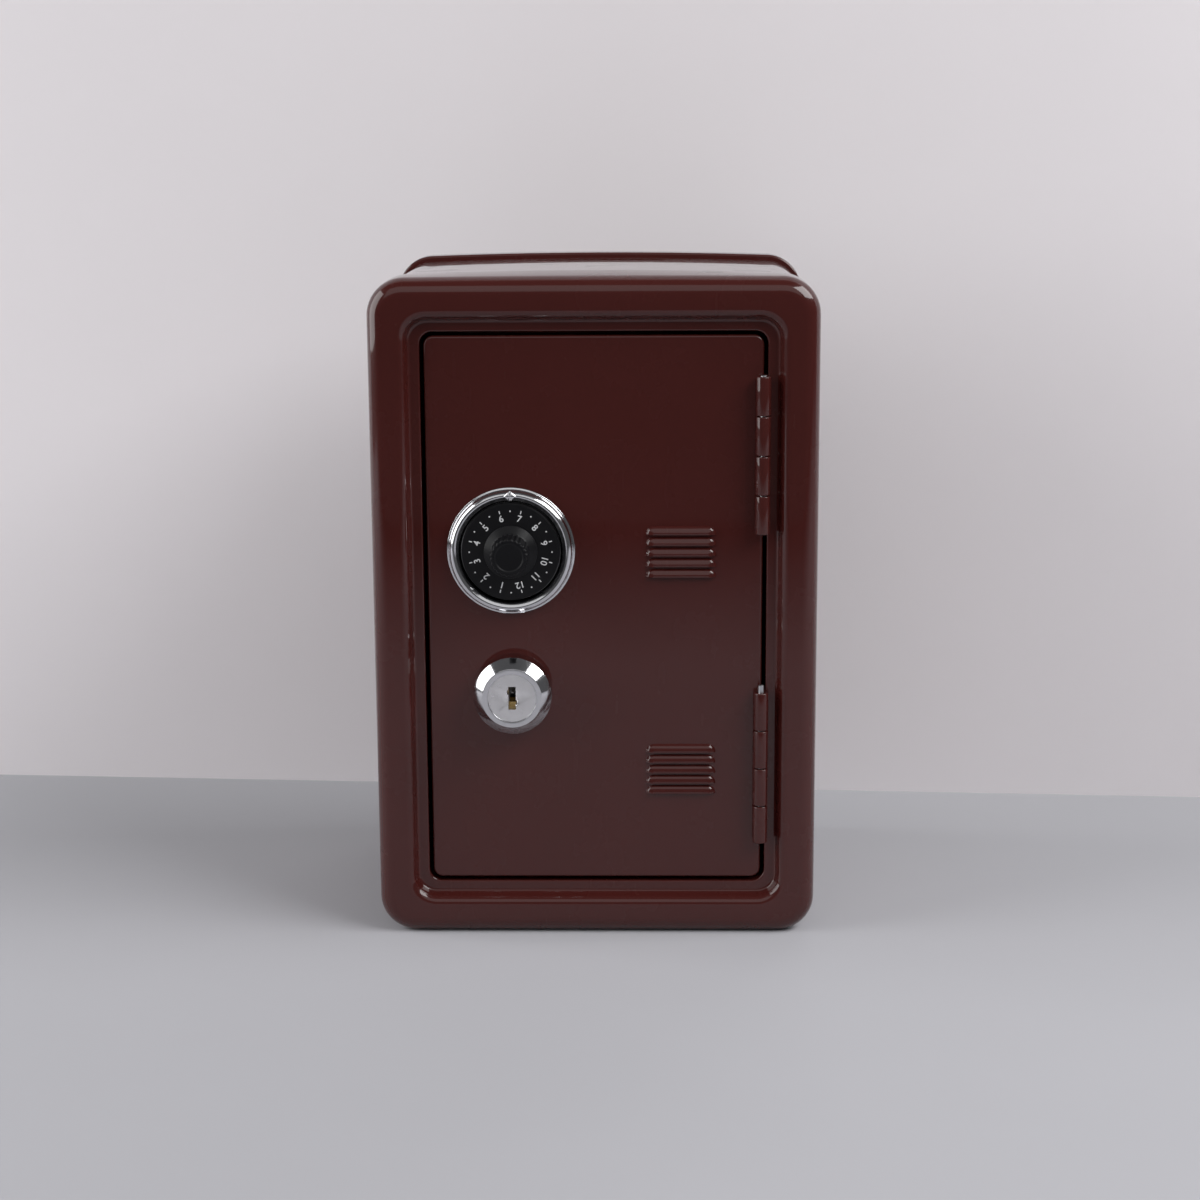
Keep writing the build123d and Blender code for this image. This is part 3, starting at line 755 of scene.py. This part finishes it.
DOOR_HOLES = (
    (DIAL_X, DIAL_Z, SPINDLE_HOLE),
    (DIAL_X - SCREW_SPACING, DIAL_Z, SCREW_HOLE),
    (DIAL_X + SCREW_SPACING, DIAL_Z, SCREW_HOLE),
    (LOCK_X, LOCK_Z, LOCK_HOLE),
)
for hole in DOOR_HOLES:
    cut_from(door, hole_cutter(*hole))
print("holes through the door:", len(DOOR_HOLES))

# %% [markdown]
# Each louvre is a slit with a hood pressed out over it, open along its lower lip. The hood's section is
# swept along its run and spun a quarter turn at each end, which closes it with a rounded shoulder.

# %% Louvre hoods
LOUVRE_X = 23.2 * MM
LOUVRE_GROUPS = (DOOR_LOW + 91.5 * MM, DOOR_LOW + 31.1 * MM)
LOUVRE_ROWS = 5
LOUVRE_PITCH = 2.9 * MM
LOUVRE_LENGTH = 19.0 * MM
LOUVRE_HEIGHT = 2.3 * MM
LOUVRE_PROUD = 1.1 * MM
LOUVRE_WALL = 0.35 * MM
HOOD_ANGLE = 50


def louvre_lips():
    """The height of every louvre's lower lip."""
    lips = []
    for middle in LOUVRE_GROUPS:
        for row in range(LOUVRE_ROWS):
            lips.append(middle + (row - (LOUVRE_ROWS - 1) / 2) * LOUVRE_PITCH - LOUVRE_HEIGHT / 2)
    return lips


def hood_mesh(lip_z):
    """One pressed hood as an open shell: a quarter spin, a straight run and a quarter spin."""
    half_run = LOUVRE_LENGTH / 2 - LOUVRE_HEIGHT
    section = bent_path(
        [
            (LOUVRE_PROUD * 0.92, 0),
            (LOUVRE_PROUD, 0.5 * MM),
            (LOUVRE_PROUD * 0.62, 1.75 * MM),
            (0.02 * MM, LOUVRE_HEIGHT),
        ],
        [0.7 * MM, 1.6 * MM],
        4,
    )
    mesh = bmesh.new()
    left = Vector((LOUVRE_X - half_run, FACE_Y, lip_z))
    spine = [mesh.verts.new((left.x, FACE_Y - proud, lip_z + rise)) for proud, rise in section]
    lines = [mesh.edges.new(pair) for pair in zip(spine, spine[1:])]
    run = bmesh.ops.extrude_edge_only(mesh, edges=lines)["geom"]
    far = [item for item in run if isinstance(item, bmesh.types.BMVert)]
    far_lines = [item for item in run if isinstance(item, bmesh.types.BMEdge)]
    bmesh.ops.translate(mesh, vec=(2 * half_run, 0, 0), verts=far)
    far_lines = [e for e in far_lines if e.verts[0] in far and e.verts[1] in far]
    right = Vector((LOUVRE_X + half_run, FACE_Y, lip_z))
    quarter = math.radians(90)
    for end, centre, angle in ((spine + lines, left, -quarter), (far + far_lines, right, quarter)):
        bmesh.ops.spin(
            mesh, geom=end, cent=centre, axis=(0, 1, 0), angle=angle, steps=8, use_duplicate=False
        )
    bmesh.ops.remove_doubles(mesh, verts=mesh.verts, dist=0.001 * MM)
    face_outwards(mesh, (0, -1, 0))
    return mesh


def slit_cutter(lip_z):
    """The hole in the door's sheet behind one hood."""
    mesh = bmesh.new()
    bmesh.ops.create_cube(mesh, size=1)
    rise = LOUVRE_HEIGHT - LOUVRE_WALL
    bmesh.ops.scale(mesh, vec=(LOUVRE_LENGTH - 2 * LOUVRE_HEIGHT, 4 * SHEET, rise), verts=mesh.verts)
    bmesh.ops.translate(mesh, vec=(LOUVRE_X, FACE_Y, lip_z + rise / 2), verts=mesh.verts)
    return mesh


lips = louvre_lips()
cut_from(door, joined(slit_cutter(lip) for lip in lips))

for group_name, group_lips in (("upper", lips[LOUVRE_ROWS:]), ("lower", lips[:LOUVRE_ROWS])):
    hoods = joined(hood_mesh(lip) for lip in group_lips)
    louvres = publish(hoods, group_name + "_louvres", "door", ENAMEL, angle=HOOD_ANGLE)
    add_thickness(louvres, LOUVRE_WALL)
    settle(louvres, HOOD_ANGLE)

# %% [markdown]
# Round pieces are turned. The profile is drawn as radius and height, and spun a full turn about the
# piece's own axis. This helper serves the dial, the lock and the hinge knuckles.

# %% Turned pieces
def turned(profile, centre, axis, steps=96, closed=True):
    """Spins a profile of (radius, height) about an axis through centre, heights along the axis."""
    axis = Vector(axis)
    side = Vector((1, 0, 0))
    mesh = bmesh.new()
    spine = [mesh.verts.new(centre + side * radius + axis * height) for radius, height in profile]
    pairs = list(zip(spine, spine[1:]))
    if closed:
        pairs.append((spine[-1], spine[0]))
    lines = [mesh.edges.new(pair) for pair in pairs]
    bmesh.ops.spin(
        mesh,
        geom=spine + lines,
        cent=centre,
        axis=axis,
        angle=math.tau,
        steps=steps,
        use_merge=True,
        use_duplicate=False,
    )
    bmesh.ops.remove_doubles(mesh, verts=mesh.verts, dist=0.001 * MM)
    bmesh.ops.recalc_face_normals(mesh, faces=mesh.faces)
    return mesh


OUT = (0, -1, 0)
TURNED_ANGLE = 40
dial_centre = Vector((DIAL_X, FACE_Y, DIAL_Z))

# %% [markdown]
# The dial sits in a plated ring: a thin flange against the door, a rounded shoulder, a crest and an
# inner slope down to the black disc. The index at the top is a ball that is pinched towards its ends
# and hollowed along its middle, so that it catches the light on both sides.

# %% The dial's ring
BEZEL_RADIUS = (bezel_high.x - bezel_low.x) / 2
RING_HOLE = 2.1 * MM
RING_FLOOR = 0.9 * MM
RING_CREST = 3.2 * MM
bezel_profile = bent_path(
    [
        (RING_HOLE, RING_FLOOR),
        (RING_HOLE, 0.0),
        (BEZEL_RADIUS, 0.0),
        (BEZEL_RADIUS, 0.6 * MM),
        (BEZEL_RADIUS - 0.55 * MM, 0.75 * MM),
        (BEZEL_RADIUS - 0.95 * MM, 2.5 * MM),
        (BEZEL_RADIUS - 1.9 * MM, RING_CREST),
        (BEZEL_RADIUS - 3.3 * MM, 2.35 * MM),
        (BEZEL_RADIUS - 3.75 * MM, RING_FLOOR),
        (RING_HOLE + 0.1 * MM, RING_FLOOR),
    ],
    [0.02 * MM, 0.1 * MM, 0.2 * MM, 0.25 * MM, 0.8 * MM, 0.8 * MM, 0.5 * MM, 0.15 * MM],
    5,
)
bezel_mesh = turned(bezel_profile, dial_centre, OUT, 128)
publish(bezel_mesh, "dial_ring", "door", CHROME, ["dial_bezel"], TURNED_ANGLE)

INDEX_SIZE = (3.6 * MM, 1.5 * MM, 3.1 * MM)
INDEX_PINCH = 0.75
INDEX_TIP = 0.25
INDEX_HOLLOW = 0.72
INDEX_PLACE = (2.0 * MM, 2.75 * MM)
index_mesh = bmesh.new()
bmesh.ops.create_uvsphere(index_mesh, u_segments=32, v_segments=24, radius=0.5)
bmesh.ops.scale(index_mesh, vec=INDEX_SIZE, verts=index_mesh.verts)
for vertex in index_mesh.verts:
    pinch = 1 - INDEX_PINCH * abs(vertex.co.z) / INDEX_SIZE[2] * 2
    vertex.co.x *= max(pinch, INDEX_TIP)
    if abs(vertex.co.x) < 0.3 * MM and vertex.co.y < 0:
        vertex.co.y *= INDEX_HOLLOW
index_place = dial_centre + Vector((0, -INDEX_PLACE[1], BEZEL_RADIUS - INDEX_PLACE[0]))
bmesh.ops.translate(index_mesh, vec=index_place, verts=index_mesh.verts)
publish(index_mesh, "index_mark", "door", CHROME)

# %% [markdown]
# The disc is moulded black plastic. Its numbers and ticks are printed, so they are real outlines raised
# by a few hundredths of a millimetre: text curves turned into meshes and set round the disc.

# %% The dial's disc and its printing
DISC_RADIUS = (disc_high.x - disc_low.x) / 2
DISC_BORE = 2.05 * MM
DISC_BACK = FACE_Y - disc_high.y
DISC_FRONT = FACE_Y - disc_low.y
disc_profile = bent_path(
    [
        (DISC_BORE, DISC_FRONT),
        (DISC_BORE, DISC_BACK),
        (DISC_RADIUS, DISC_BACK),
        (DISC_RADIUS, DISC_FRONT),
        (DISC_BORE + 0.15 * MM, DISC_FRONT),
    ],
    [0.02 * MM, 0.15 * MM, 0.3 * MM],
    5,
)
disc_mesh = turned(disc_profile, dial_centre, OUT, 96)
publish(disc_mesh, "number_disc", "dial", BLACK, ["dial_disc"], TURNED_ANGLE)

NUMBER_RADIUS = 9.25 * MM
TICK_RADIUS = 11.1 * MM
DOT_RADIUS = 11.1 * MM
DIGIT_SIZE = 2.5 * MM
PRINT_RISE = 0.04 * MM
INK_SPREAD = 0.03 * MM
TICK_WIDTH = 0.26 * MM
TICK_LENGTH = 0.85 * MM
DOT_SIZE = 0.21 * MM
HOURS = 12
TOP_NUMBER = 6.5


def dial_angle(number):
    """The clockwise angle from the top at which a number stands."""
    return (number - TOP_NUMBER) * math.tau / HOURS


def on_dial(radius, angle):
    """A turn and a shift that carry a flat drawing to its place on the disc."""
    place = dial_centre + Vector((radius * math.sin(angle), -DISC_FRONT, radius * math.cos(angle)))
    stand_up = Matrix.Rotation(math.radians(90), 4, "X")
    return Matrix.Translation(place) @ Matrix.Rotation(angle, 4, "Y") @ stand_up


def number_mesh(text):
    """A number as a thin solid, centred on its own middle."""
    curve = bpy.data.curves.new("number", "FONT")
    curve.body = text
    curve.size = DIGIT_SIZE
    curve.align_x = "CENTER"
    curve.align_y = "CENTER"
    curve.extrude = PRINT_RISE
    curve.offset = INK_SPREAD
    curve.resolution_u = 4
    letter = bpy.data.objects.new("number", curve)
    bpy.context.scene.collection.objects.link(letter)
    bpy.context.view_layer.update()
    flat = bpy.data.meshes.new_from_object(letter.evaluated_get(bpy.context.evaluated_depsgraph_get()))
    bpy.data.objects.remove(letter)
    mesh = bmesh.new()
    mesh.from_mesh(flat)
    bpy.data.meshes.remove(flat)
    return mesh


def tick_mesh():
    """A short printed line."""
    mesh = bmesh.new()
    bmesh.ops.create_cube(mesh, size=1)
    bmesh.ops.scale(mesh, vec=(TICK_WIDTH, TICK_LENGTH, 2 * PRINT_RISE), verts=mesh.verts)
    return mesh


def dot_mesh():
    """A printed dot."""
    mesh = bmesh.new()
    bmesh.ops.create_cone(
        mesh, cap_ends=True, segments=16, radius1=DOT_SIZE, radius2=DOT_SIZE, depth=2 * PRINT_RISE
    )
    return mesh


prints = []
for number in range(1, HOURS + 1):
    for mesh, radius, mark in (
        (number_mesh(str(number)), NUMBER_RADIUS, number),
        (tick_mesh(), TICK_RADIUS, number),
        (dot_mesh(), DOT_RADIUS, number + 0.5),
    ):
        bmesh.ops.transform(mesh, matrix=on_dial(radius, dial_angle(mark)), verts=mesh.verts)
        prints.append(mesh)
printing = joined(prints)
bmesh.ops.recalc_face_normals(printing, faces=printing.faces)
publish(printing, "dial_printing", "dial", PRINT)

# %% [markdown]
# The knob is a fluted grip on a flared foot. A turned body gives the flare, and the flutes are pressed
# into its side by moving the side's points in and out with a cosine of their angle.

# %% The dial's knob
FOOT_RADIUS = (knob_high.z - knob_low.z) / 2
KNOB_RADIUS = 5.1 * MM
FOOT_HEIGHT = 0.35 * MM
FLARE_TOP = DISC_FRONT + 1.5 * MM
KNOB_FRONT = FACE_Y - knob_low.y
FLUTES = 24
FLUTE_DEPTH = 0.3 * MM
FLUTED_FROM = KNOB_RADIUS - 0.9 * MM
knob_profile = bent_path(
    [
        (DISC_BORE, DISC_FRONT),
        (FOOT_RADIUS, DISC_FRONT),
        (FOOT_RADIUS, DISC_FRONT + FOOT_HEIGHT),
        (KNOB_RADIUS, FLARE_TOP),
        (KNOB_RADIUS, KNOB_FRONT - 0.05 * MM),
        (KNOB_RADIUS - 1.2 * MM, KNOB_FRONT),
        (KNOB_RADIUS - 1.6 * MM, KNOB_FRONT - 0.25 * MM),
        (0.0, KNOB_FRONT - 0.3 * MM),
    ],
    [0.02 * MM, 0.15 * MM, 0.6 * MM, 0.5 * MM, 0.3 * MM, 0.2 * MM],
    5,
)
knob_mesh = turned(knob_profile, dial_centre, OUT, FLUTES * 8, closed=False)
for vertex in knob_mesh.verts:
    across = Vector((vertex.co.x - DIAL_X, 0, vertex.co.z - DIAL_Z))
    height = FACE_Y - vertex.co.y
    if height > FLARE_TOP and across.length > FLUTED_FROM:
        angle = math.atan2(across.x, across.z)
        pull = FLUTE_DEPTH * (0.5 + 0.5 * math.cos(FLUTES * angle))
        vertex.co -= across.normalized() * pull
publish(knob_mesh, "fluted_knob", "dial", BLACK, ["dial_knob"], TURNED_ANGLE)

# %% [markdown]
# The lock's collar stands off the door as a short cylinder, and then narrows as a polished cone to a
# flat face. It is one turned piece with its barrel, and open in the middle for the plug.

# %% The lock's collar
lock_centre = Vector((LOCK_X, FACE_Y, LOCK_Z))
COLLAR_RADIUS = (housing_high.x - housing_low.x) / 2
COLLAR_FACE = 8.05 * MM
COLLAR_STAND = 5.7 * MM
COLLAR_HEIGHT = FACE_Y - housing_low.y
BARREL_RADIUS = 8.0 * MM
BARREL_BACK = FACE_Y - housing_high.y
BARREL_BORE = 5.65 * MM
PLUG_SEAT = 6.55 * MM
SEAT_HEIGHT = COLLAR_HEIGHT - 2.4 * MM
collar_profile = bent_path(
    [
        (BARREL_BORE, SEAT_HEIGHT),
        (BARREL_BORE, BARREL_BACK),
        (BARREL_RADIUS, BARREL_BACK),
        (BARREL_RADIUS, 0.0),
        (COLLAR_RADIUS, 0.0),
        (COLLAR_RADIUS, COLLAR_STAND),
        (COLLAR_FACE, COLLAR_HEIGHT),
        (PLUG_SEAT, COLLAR_HEIGHT),
        (PLUG_SEAT, SEAT_HEIGHT),
        (BARREL_BORE + 0.1 * MM, SEAT_HEIGHT),
    ],
    [0.02 * MM, 0.3 * MM, 0.05 * MM, 0.1 * MM, 0.25 * MM, 0.2 * MM, 0.1 * MM, 0.02 * MM],
    5,
)
collar_mesh = turned(collar_profile, lock_centre, OUT, 112)
publish(collar_mesh, "lock_collar", "door", CHROME, ["lock_housing"], TURNED_ANGLE)

# %% [markdown]
# A hinge is made of rolled knuckles on a pin. Each knuckle is turned with rounded ends, so its joints
# catch the light, and a flat leaf runs back from it beside the door gap.

# %% The hinges
KNUCKLE_RADIUS = 2.0 * MM
KNUCKLE_BORE = 0.85 * MM
KNUCKLE_GAP = 0.25 * MM
KNUCKLES = 4
LEAF_SHEET = 0.5 * MM
LEAF_MARGIN = 0.15 * MM
STRIP_FRONT = 1.3 * MM
STRIP_BACK = 2.4 * MM
ROLLED_EDGE = 0.3 * MM


def knuckle_mesh(pin, bottom, top):
    """One knuckle round the pin, with rounded ends; its section starts and ends inside the bore."""
    foot = bottom - pin.z
    head = top - pin.z
    middle = (foot + head) / 2
    profile = bent_path(
        [
            (KNUCKLE_BORE, middle),
            (KNUCKLE_BORE, foot),
            (KNUCKLE_RADIUS, foot),
            (KNUCKLE_RADIUS, head),
            (KNUCKLE_BORE, head),
            (KNUCKLE_BORE, middle + HAIR),
        ],
        [0.05 * MM, ROLLED_EDGE, ROLLED_EDGE, 0.05 * MM],
        4,
    )
    return turned(profile, pin, (0, 0, 1), 48)


def leaf_box(low, high):
    """A thin plate with softened edges."""
    mesh = bmesh.new()
    bmesh.ops.create_cube(mesh, size=1)
    size = Vector(high) - Vector(low)
    bmesh.ops.scale(mesh, vec=size, verts=mesh.verts)
    bmesh.ops.translate(mesh, vec=(Vector(high) + Vector(low)) / 2, verts=mesh.verts)
    bmesh.ops.bevel(
        mesh, geom=mesh.edges[:], offset=0.08 * MM, segments=2, profile=0.5, affect="EDGES", material=-1
    )
    return mesh


def hinge_half(node, body, own):
    """One leaf of a hinge with its knuckles, in the box that its node has."""
    low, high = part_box(node)
    pin = Vector(((low.x + high.x) / 2, low.y + KNUCKLE_RADIUS, low.z))
    length = high.z - low.z
    pitch = length / KNUCKLES
    leaf_x = DOOR_HALF if body == "door" else OPENING_HALF - LEAF_SHEET
    leaf_front = pin.y + KNUCKLE_RADIUS + LEAF_MARGIN
    parts = [leaf_box((leaf_x, leaf_front, low.z), (leaf_x + LEAF_SHEET, high.y, high.z))]
    for knuckle in own:
        bottom = low.z + knuckle * pitch + KNUCKLE_GAP / 2
        top = bottom + pitch - KNUCKLE_GAP
        parts.append(knuckle_mesh(pin, bottom, top))
        strip_low = (leaf_x, pin.y + STRIP_FRONT, bottom)
        parts.append(leaf_box(strip_low, (leaf_x + LEAF_SHEET, pin.y + STRIP_BACK, top)))
    return publish(joined(parts), node + "_rolled", body, ENAMEL, [node], TURNED_ANGLE)


for place in ("upper", "lower"):
    hinge_half(place + "_hinge_door_leaf", "door", (1, 3))
    hinge_half(place + "_hinge_frame_leaf", "case", (0, 2))

# %% [markdown]
# The plug with its keyway, the wafers, the pins, and the screws, washers, nuts, cam and click work
# inside have the right shapes in the frame already. So each is a copy of its node: its loose triangles
# are merged, flat neighbours become one face, and its rounds are shaded smooth.

# %% Smooth copies of the inner pieces
FLAT_ANGLE = 0.5
BODIES = frame["record"]["behaviour"]["bodies"]
BODY_OF = {node: body for body, nodes in BODIES.items() for node in nodes}


def smooth_copy(node, material):
    """A merged, smooth-shaded copy of a node."""
    mesh = bmesh.new()
    mesh.from_mesh(frame["nodes"][node].data)
    bmesh.ops.remove_doubles(mesh, verts=mesh.verts, dist=0.0005 * MM)
    bmesh.ops.dissolve_limit(
        mesh,
        angle_limit=math.radians(FLAT_ANGLE),
        verts=mesh.verts[:],
        edges=mesh.edges[:],
        use_dissolve_boundaries=False,
    )
    return publish(mesh, node + "_piece", BODY_OF[node], material, [node])


for node, material, slot in (
    ("upper_hinge_pin", ZINC, "zinc_steel"),
    ("lower_hinge_pin", ZINC, "zinc_steel"),
    ("bezel_screws", ZINC, "zinc_steel"),
    ("dial_spindle", ZINC, "zinc_steel"),
    ("click_wheel", BRASS, "brass"),
    ("click_spring", SPRING, "spring_steel"),
    ("spindle_washer", ZINC, "zinc_steel"),
    ("spindle_nut", ZINC, "zinc_steel"),
    ("lock_plug", SATIN, "chrome"),
    ("lock_wafers", BRASS, "brass"),
    ("lock_tooth_washer", ZINC, "zinc_steel"),
    ("lock_nut", ZINC, "zinc_steel"),
    ("lock_cam", ZINC, "zinc_steel"),
    ("cam_washer", ZINC, "zinc_steel"),
    ("cam_screw", ZINC, "zinc_steel"),
):
    smooth_copy(node, material)

# %% [markdown]
# The stage is a pale grey table and a pale wall close behind. Neither shows from its back, so the safe
# can be seen from every side. The wall is there for camera and mirror rays alone and blocks no light.
# The table is painted darker towards the camera's side, as painted shade for the dim room in front, and
# that painted shade is what the lower half of the glossy door mirrors.

# %% The stage
# The near-black colour of the painted shade on the table's near part, standing in for the dim room in
# front.
TABLE_PAINTED_SHADE = (0.02, 0.02, 0.022)


def stage_material(name, colour, solid_to_light, fade=None):
    """A matt surface that can't be seen from behind; the optional last argument gives where along Y its
    painted shade turns to its pale colour.
    """
    material = bpy.data.materials.new(name)
    material.use_nodes = True
    tree = material.node_tree
    shader = tree.nodes["Principled BSDF"]
    shader.inputs["Roughness"].default_value = 0.75
    shader.inputs["Specular IOR Level"].default_value = 0.2
    grain = tree.nodes.new("ShaderNodeTexNoise")
    grain.inputs["Scale"].default_value = 9.0
    grain.inputs["Detail"].default_value = 8.0
    place = tree.nodes.new("ShaderNodeTexCoord")
    tint = tree.nodes.new("ShaderNodeMix")
    tint.data_type = "RGBA"
    tint.inputs["A"].default_value = (*[0.97 * c for c in colour], 1)
    tint.inputs["B"].default_value = (*[1.03 * c for c in colour], 1)
    tree.links.new(place.outputs["Object"], grain.inputs["Vector"])
    tree.links.new(grain.outputs["Fac"], tint.inputs["Factor"])
    colour_out = tint.outputs["Result"]
    # Painted shade: towards the camera the table's colour is mixed to near black, so that the glossy
    # door mirrors a dark front.
    if fade is not None:
        parts = tree.nodes.new("ShaderNodeSeparateXYZ")
        ramp = tree.nodes.new("ShaderNodeMapRange")
        ramp.inputs["From Min"].default_value = fade[0]
        ramp.inputs["From Max"].default_value = fade[1]
        dim = tree.nodes.new("ShaderNodeMix")
        dim.data_type = "RGBA"
        dim.inputs["A"].default_value = (*TABLE_PAINTED_SHADE, 1)
        tree.links.new(place.outputs["Object"], parts.inputs["Vector"])
        tree.links.new(parts.outputs["Y"], ramp.inputs["Value"])
        tree.links.new(ramp.outputs["Result"], dim.inputs["Factor"])
        tree.links.new(colour_out, dim.inputs["B"])
        colour_out = dim.outputs["Result"]
    tree.links.new(colour_out, shader.inputs["Base Color"])
    clear = tree.nodes.new("ShaderNodeBsdfTransparent")
    side = tree.nodes.new("ShaderNodeNewGeometry")
    mix = tree.nodes.new("ShaderNodeMixShader")
    output = tree.nodes["Material Output"]
    hide = side.outputs["Backfacing"]
    if not solid_to_light:
        ray = tree.nodes.new("ShaderNodeLightPath")
        seen, unseen, either = (tree.nodes.new("ShaderNodeMath") for _ in range(3))
        seen.operation = "MAXIMUM"
        unseen.operation = "SUBTRACT"
        unseen.inputs[0].default_value = 1.0
        either.operation = "MAXIMUM"
        tree.links.new(ray.outputs["Is Camera Ray"], seen.inputs[0])
        tree.links.new(ray.outputs["Is Glossy Ray"], seen.inputs[1])
        tree.links.new(seen.outputs[0], unseen.inputs[1])
        tree.links.new(unseen.outputs[0], either.inputs[0])
        tree.links.new(side.outputs["Backfacing"], either.inputs[1])
        hide = either.outputs[0]
    tree.links.new(hide, mix.inputs["Fac"])
    tree.links.new(shader.outputs["BSDF"], mix.inputs[1])
    tree.links.new(clear.outputs["BSDF"], mix.inputs[2])
    tree.links.new(mix.outputs["Shader"], output.inputs["Surface"])
    return material


def stage_plane(name, matrix, material):
    """A flat stage surface."""
    mesh = bmesh.new()
    bmesh.ops.create_grid(mesh, x_segments=1, y_segments=1, size=STAGE_HALF)
    bmesh.ops.transform(mesh, matrix=matrix, verts=mesh.verts)
    data = bpy.data.meshes.new(name)
    mesh.to_mesh(data)
    mesh.free()
    data.materials.append(material)
    surface = bpy.data.objects.new(name, data)
    bpy.context.scene.collection.objects.link(surface)
    print(name, "in", material.name)


STAGE_HALF = 1.5
TABLE_IN_FRONT = 0.70
# Where along Y the table's painted shade gives way to its pale colour.
TABLE_SHADE_FADE = (-0.66, -0.36)
WALL_DISTANCE = 45.0 * MM
WALL_TURN = math.radians(-3.8)
table_material = stage_material("pale_table", (0.44, 0.437, 0.465), True, TABLE_SHADE_FADE)
wall_material = stage_material("pale_wall", (0.80, 0.765, 0.785), False)
stage_plane("table_top", Matrix.Translation((0, STAGE_HALF - TABLE_IN_FRONT, 0)), table_material)
upright = Matrix.Rotation(WALL_TURN, 4, "Z") @ Matrix.Rotation(math.radians(90), 4, "X")
wall_place = Matrix.Translation((0, BACK_Y + WALL_DISTANCE, STAGE_HALF))
stage_plane("wall", wall_place @ upright, wall_material)

# %% [markdown]
# The light is soft and plain: a window-sized lamp at each side, a broad weak one in front, a small one
# behind for the back, and a dim even world. The side lamps draw the highlights on the rims' corners,
# on the lock's cone and on the ring.

# %% The lamps
def area_lamp(name, place, target, size, power):
    """A soft rectangular lamp that looks at a point."""
    data = bpy.data.lights.new(name, "AREA")
    data.shape = "RECTANGLE"
    data.size = size[0]
    data.size_y = size[1]
    data.energy = power
    lamp = bpy.data.objects.new(name, data)
    bpy.context.scene.collection.objects.link(lamp)
    lamp.location = place
    lamp.rotation_euler = (Vector(target) - Vector(place)).to_track_quat("-Z", "Y").to_euler()
    print(name, "of", power, "W")


BODY_MIDDLE = (0, 0, 0.09)
area_lamp("left_window", (-0.90, -0.20, 0.46), (0, -0.20, 0.24), (0.90, 0.80), 8.6)
area_lamp("right_window", (0.72, -0.30, 0.78), BODY_MIDDLE, (0.90, 0.50), 10.4)
area_lamp("front_fill", (-0.1, -1.6, 1.5), BODY_MIDDLE, (2.6, 1.4), 8.0)
area_lamp("back_lamp", (0.4, 1.2, 0.9), BODY_MIDDLE, (0.8, 0.6), 2.5)

WORLD_COLOUR = (0.80, 0.80, 0.82)
WORLD_STRENGTH = 0.12
world = bpy.data.worlds.new("studio")
bpy.context.scene.world = world
world.use_nodes = True
sky = world.node_tree.nodes["Background"]
sky.inputs["Color"].default_value = (*WORLD_COLOUR, 1)
sky.inputs["Strength"].default_value = WORLD_STRENGTH
bpy.context.scene.view_settings.view_transform = "Standard"

# %% [markdown]
# The camera stands where the photograph was taken from. Its place and turns were worked out from the
# outline and the door gap, and its focal length is in pixels of a picture 1200 pixels wide.

# %% The camera
PICTURE_WIDTH = 1200
SENSOR_WIDTH = 36.0
FOCAL_PIXELS = 2368.5
CAMERA_X = 14.13 * MM
CAMERA_IN_FRONT = 622.4 * MM
CAMERA_Z = 224.5 * MM
YAW = -0.0204
PITCH = 0.2062
ROLL = -0.0056

ahead = Vector((math.sin(YAW), math.cos(YAW), 0))
forward = ahead * math.cos(PITCH) - Vector((0, 0, math.sin(PITCH)))
right = Vector((math.cos(YAW), -math.sin(YAW), 0))
up = right.cross(forward)
level_right = right * math.cos(ROLL) + up * math.sin(ROLL)
level_up = up * math.cos(ROLL) - right * math.sin(ROLL)
camera_data = bpy.data.cameras.new("camera")
camera_data.sensor_width = SENSOR_WIDTH
camera_data.lens = SENSOR_WIDTH * FOCAL_PIXELS / PICTURE_WIDTH
camera_data.clip_start = 0.01
camera = bpy.data.objects.new("camera", camera_data)
bpy.context.scene.collection.objects.link(camera)
turn = Matrix((level_right, level_up, -forward)).transposed().to_4x4()
camera.matrix_world = Matrix.Translation((CAMERA_X, FRONT_Y - CAMERA_IN_FRONT, CAMERA_Z)) @ turn
bpy.context.scene.camera = camera
print("camera at", tuple(round(value, 4) for value in camera.matrix_world.translation))
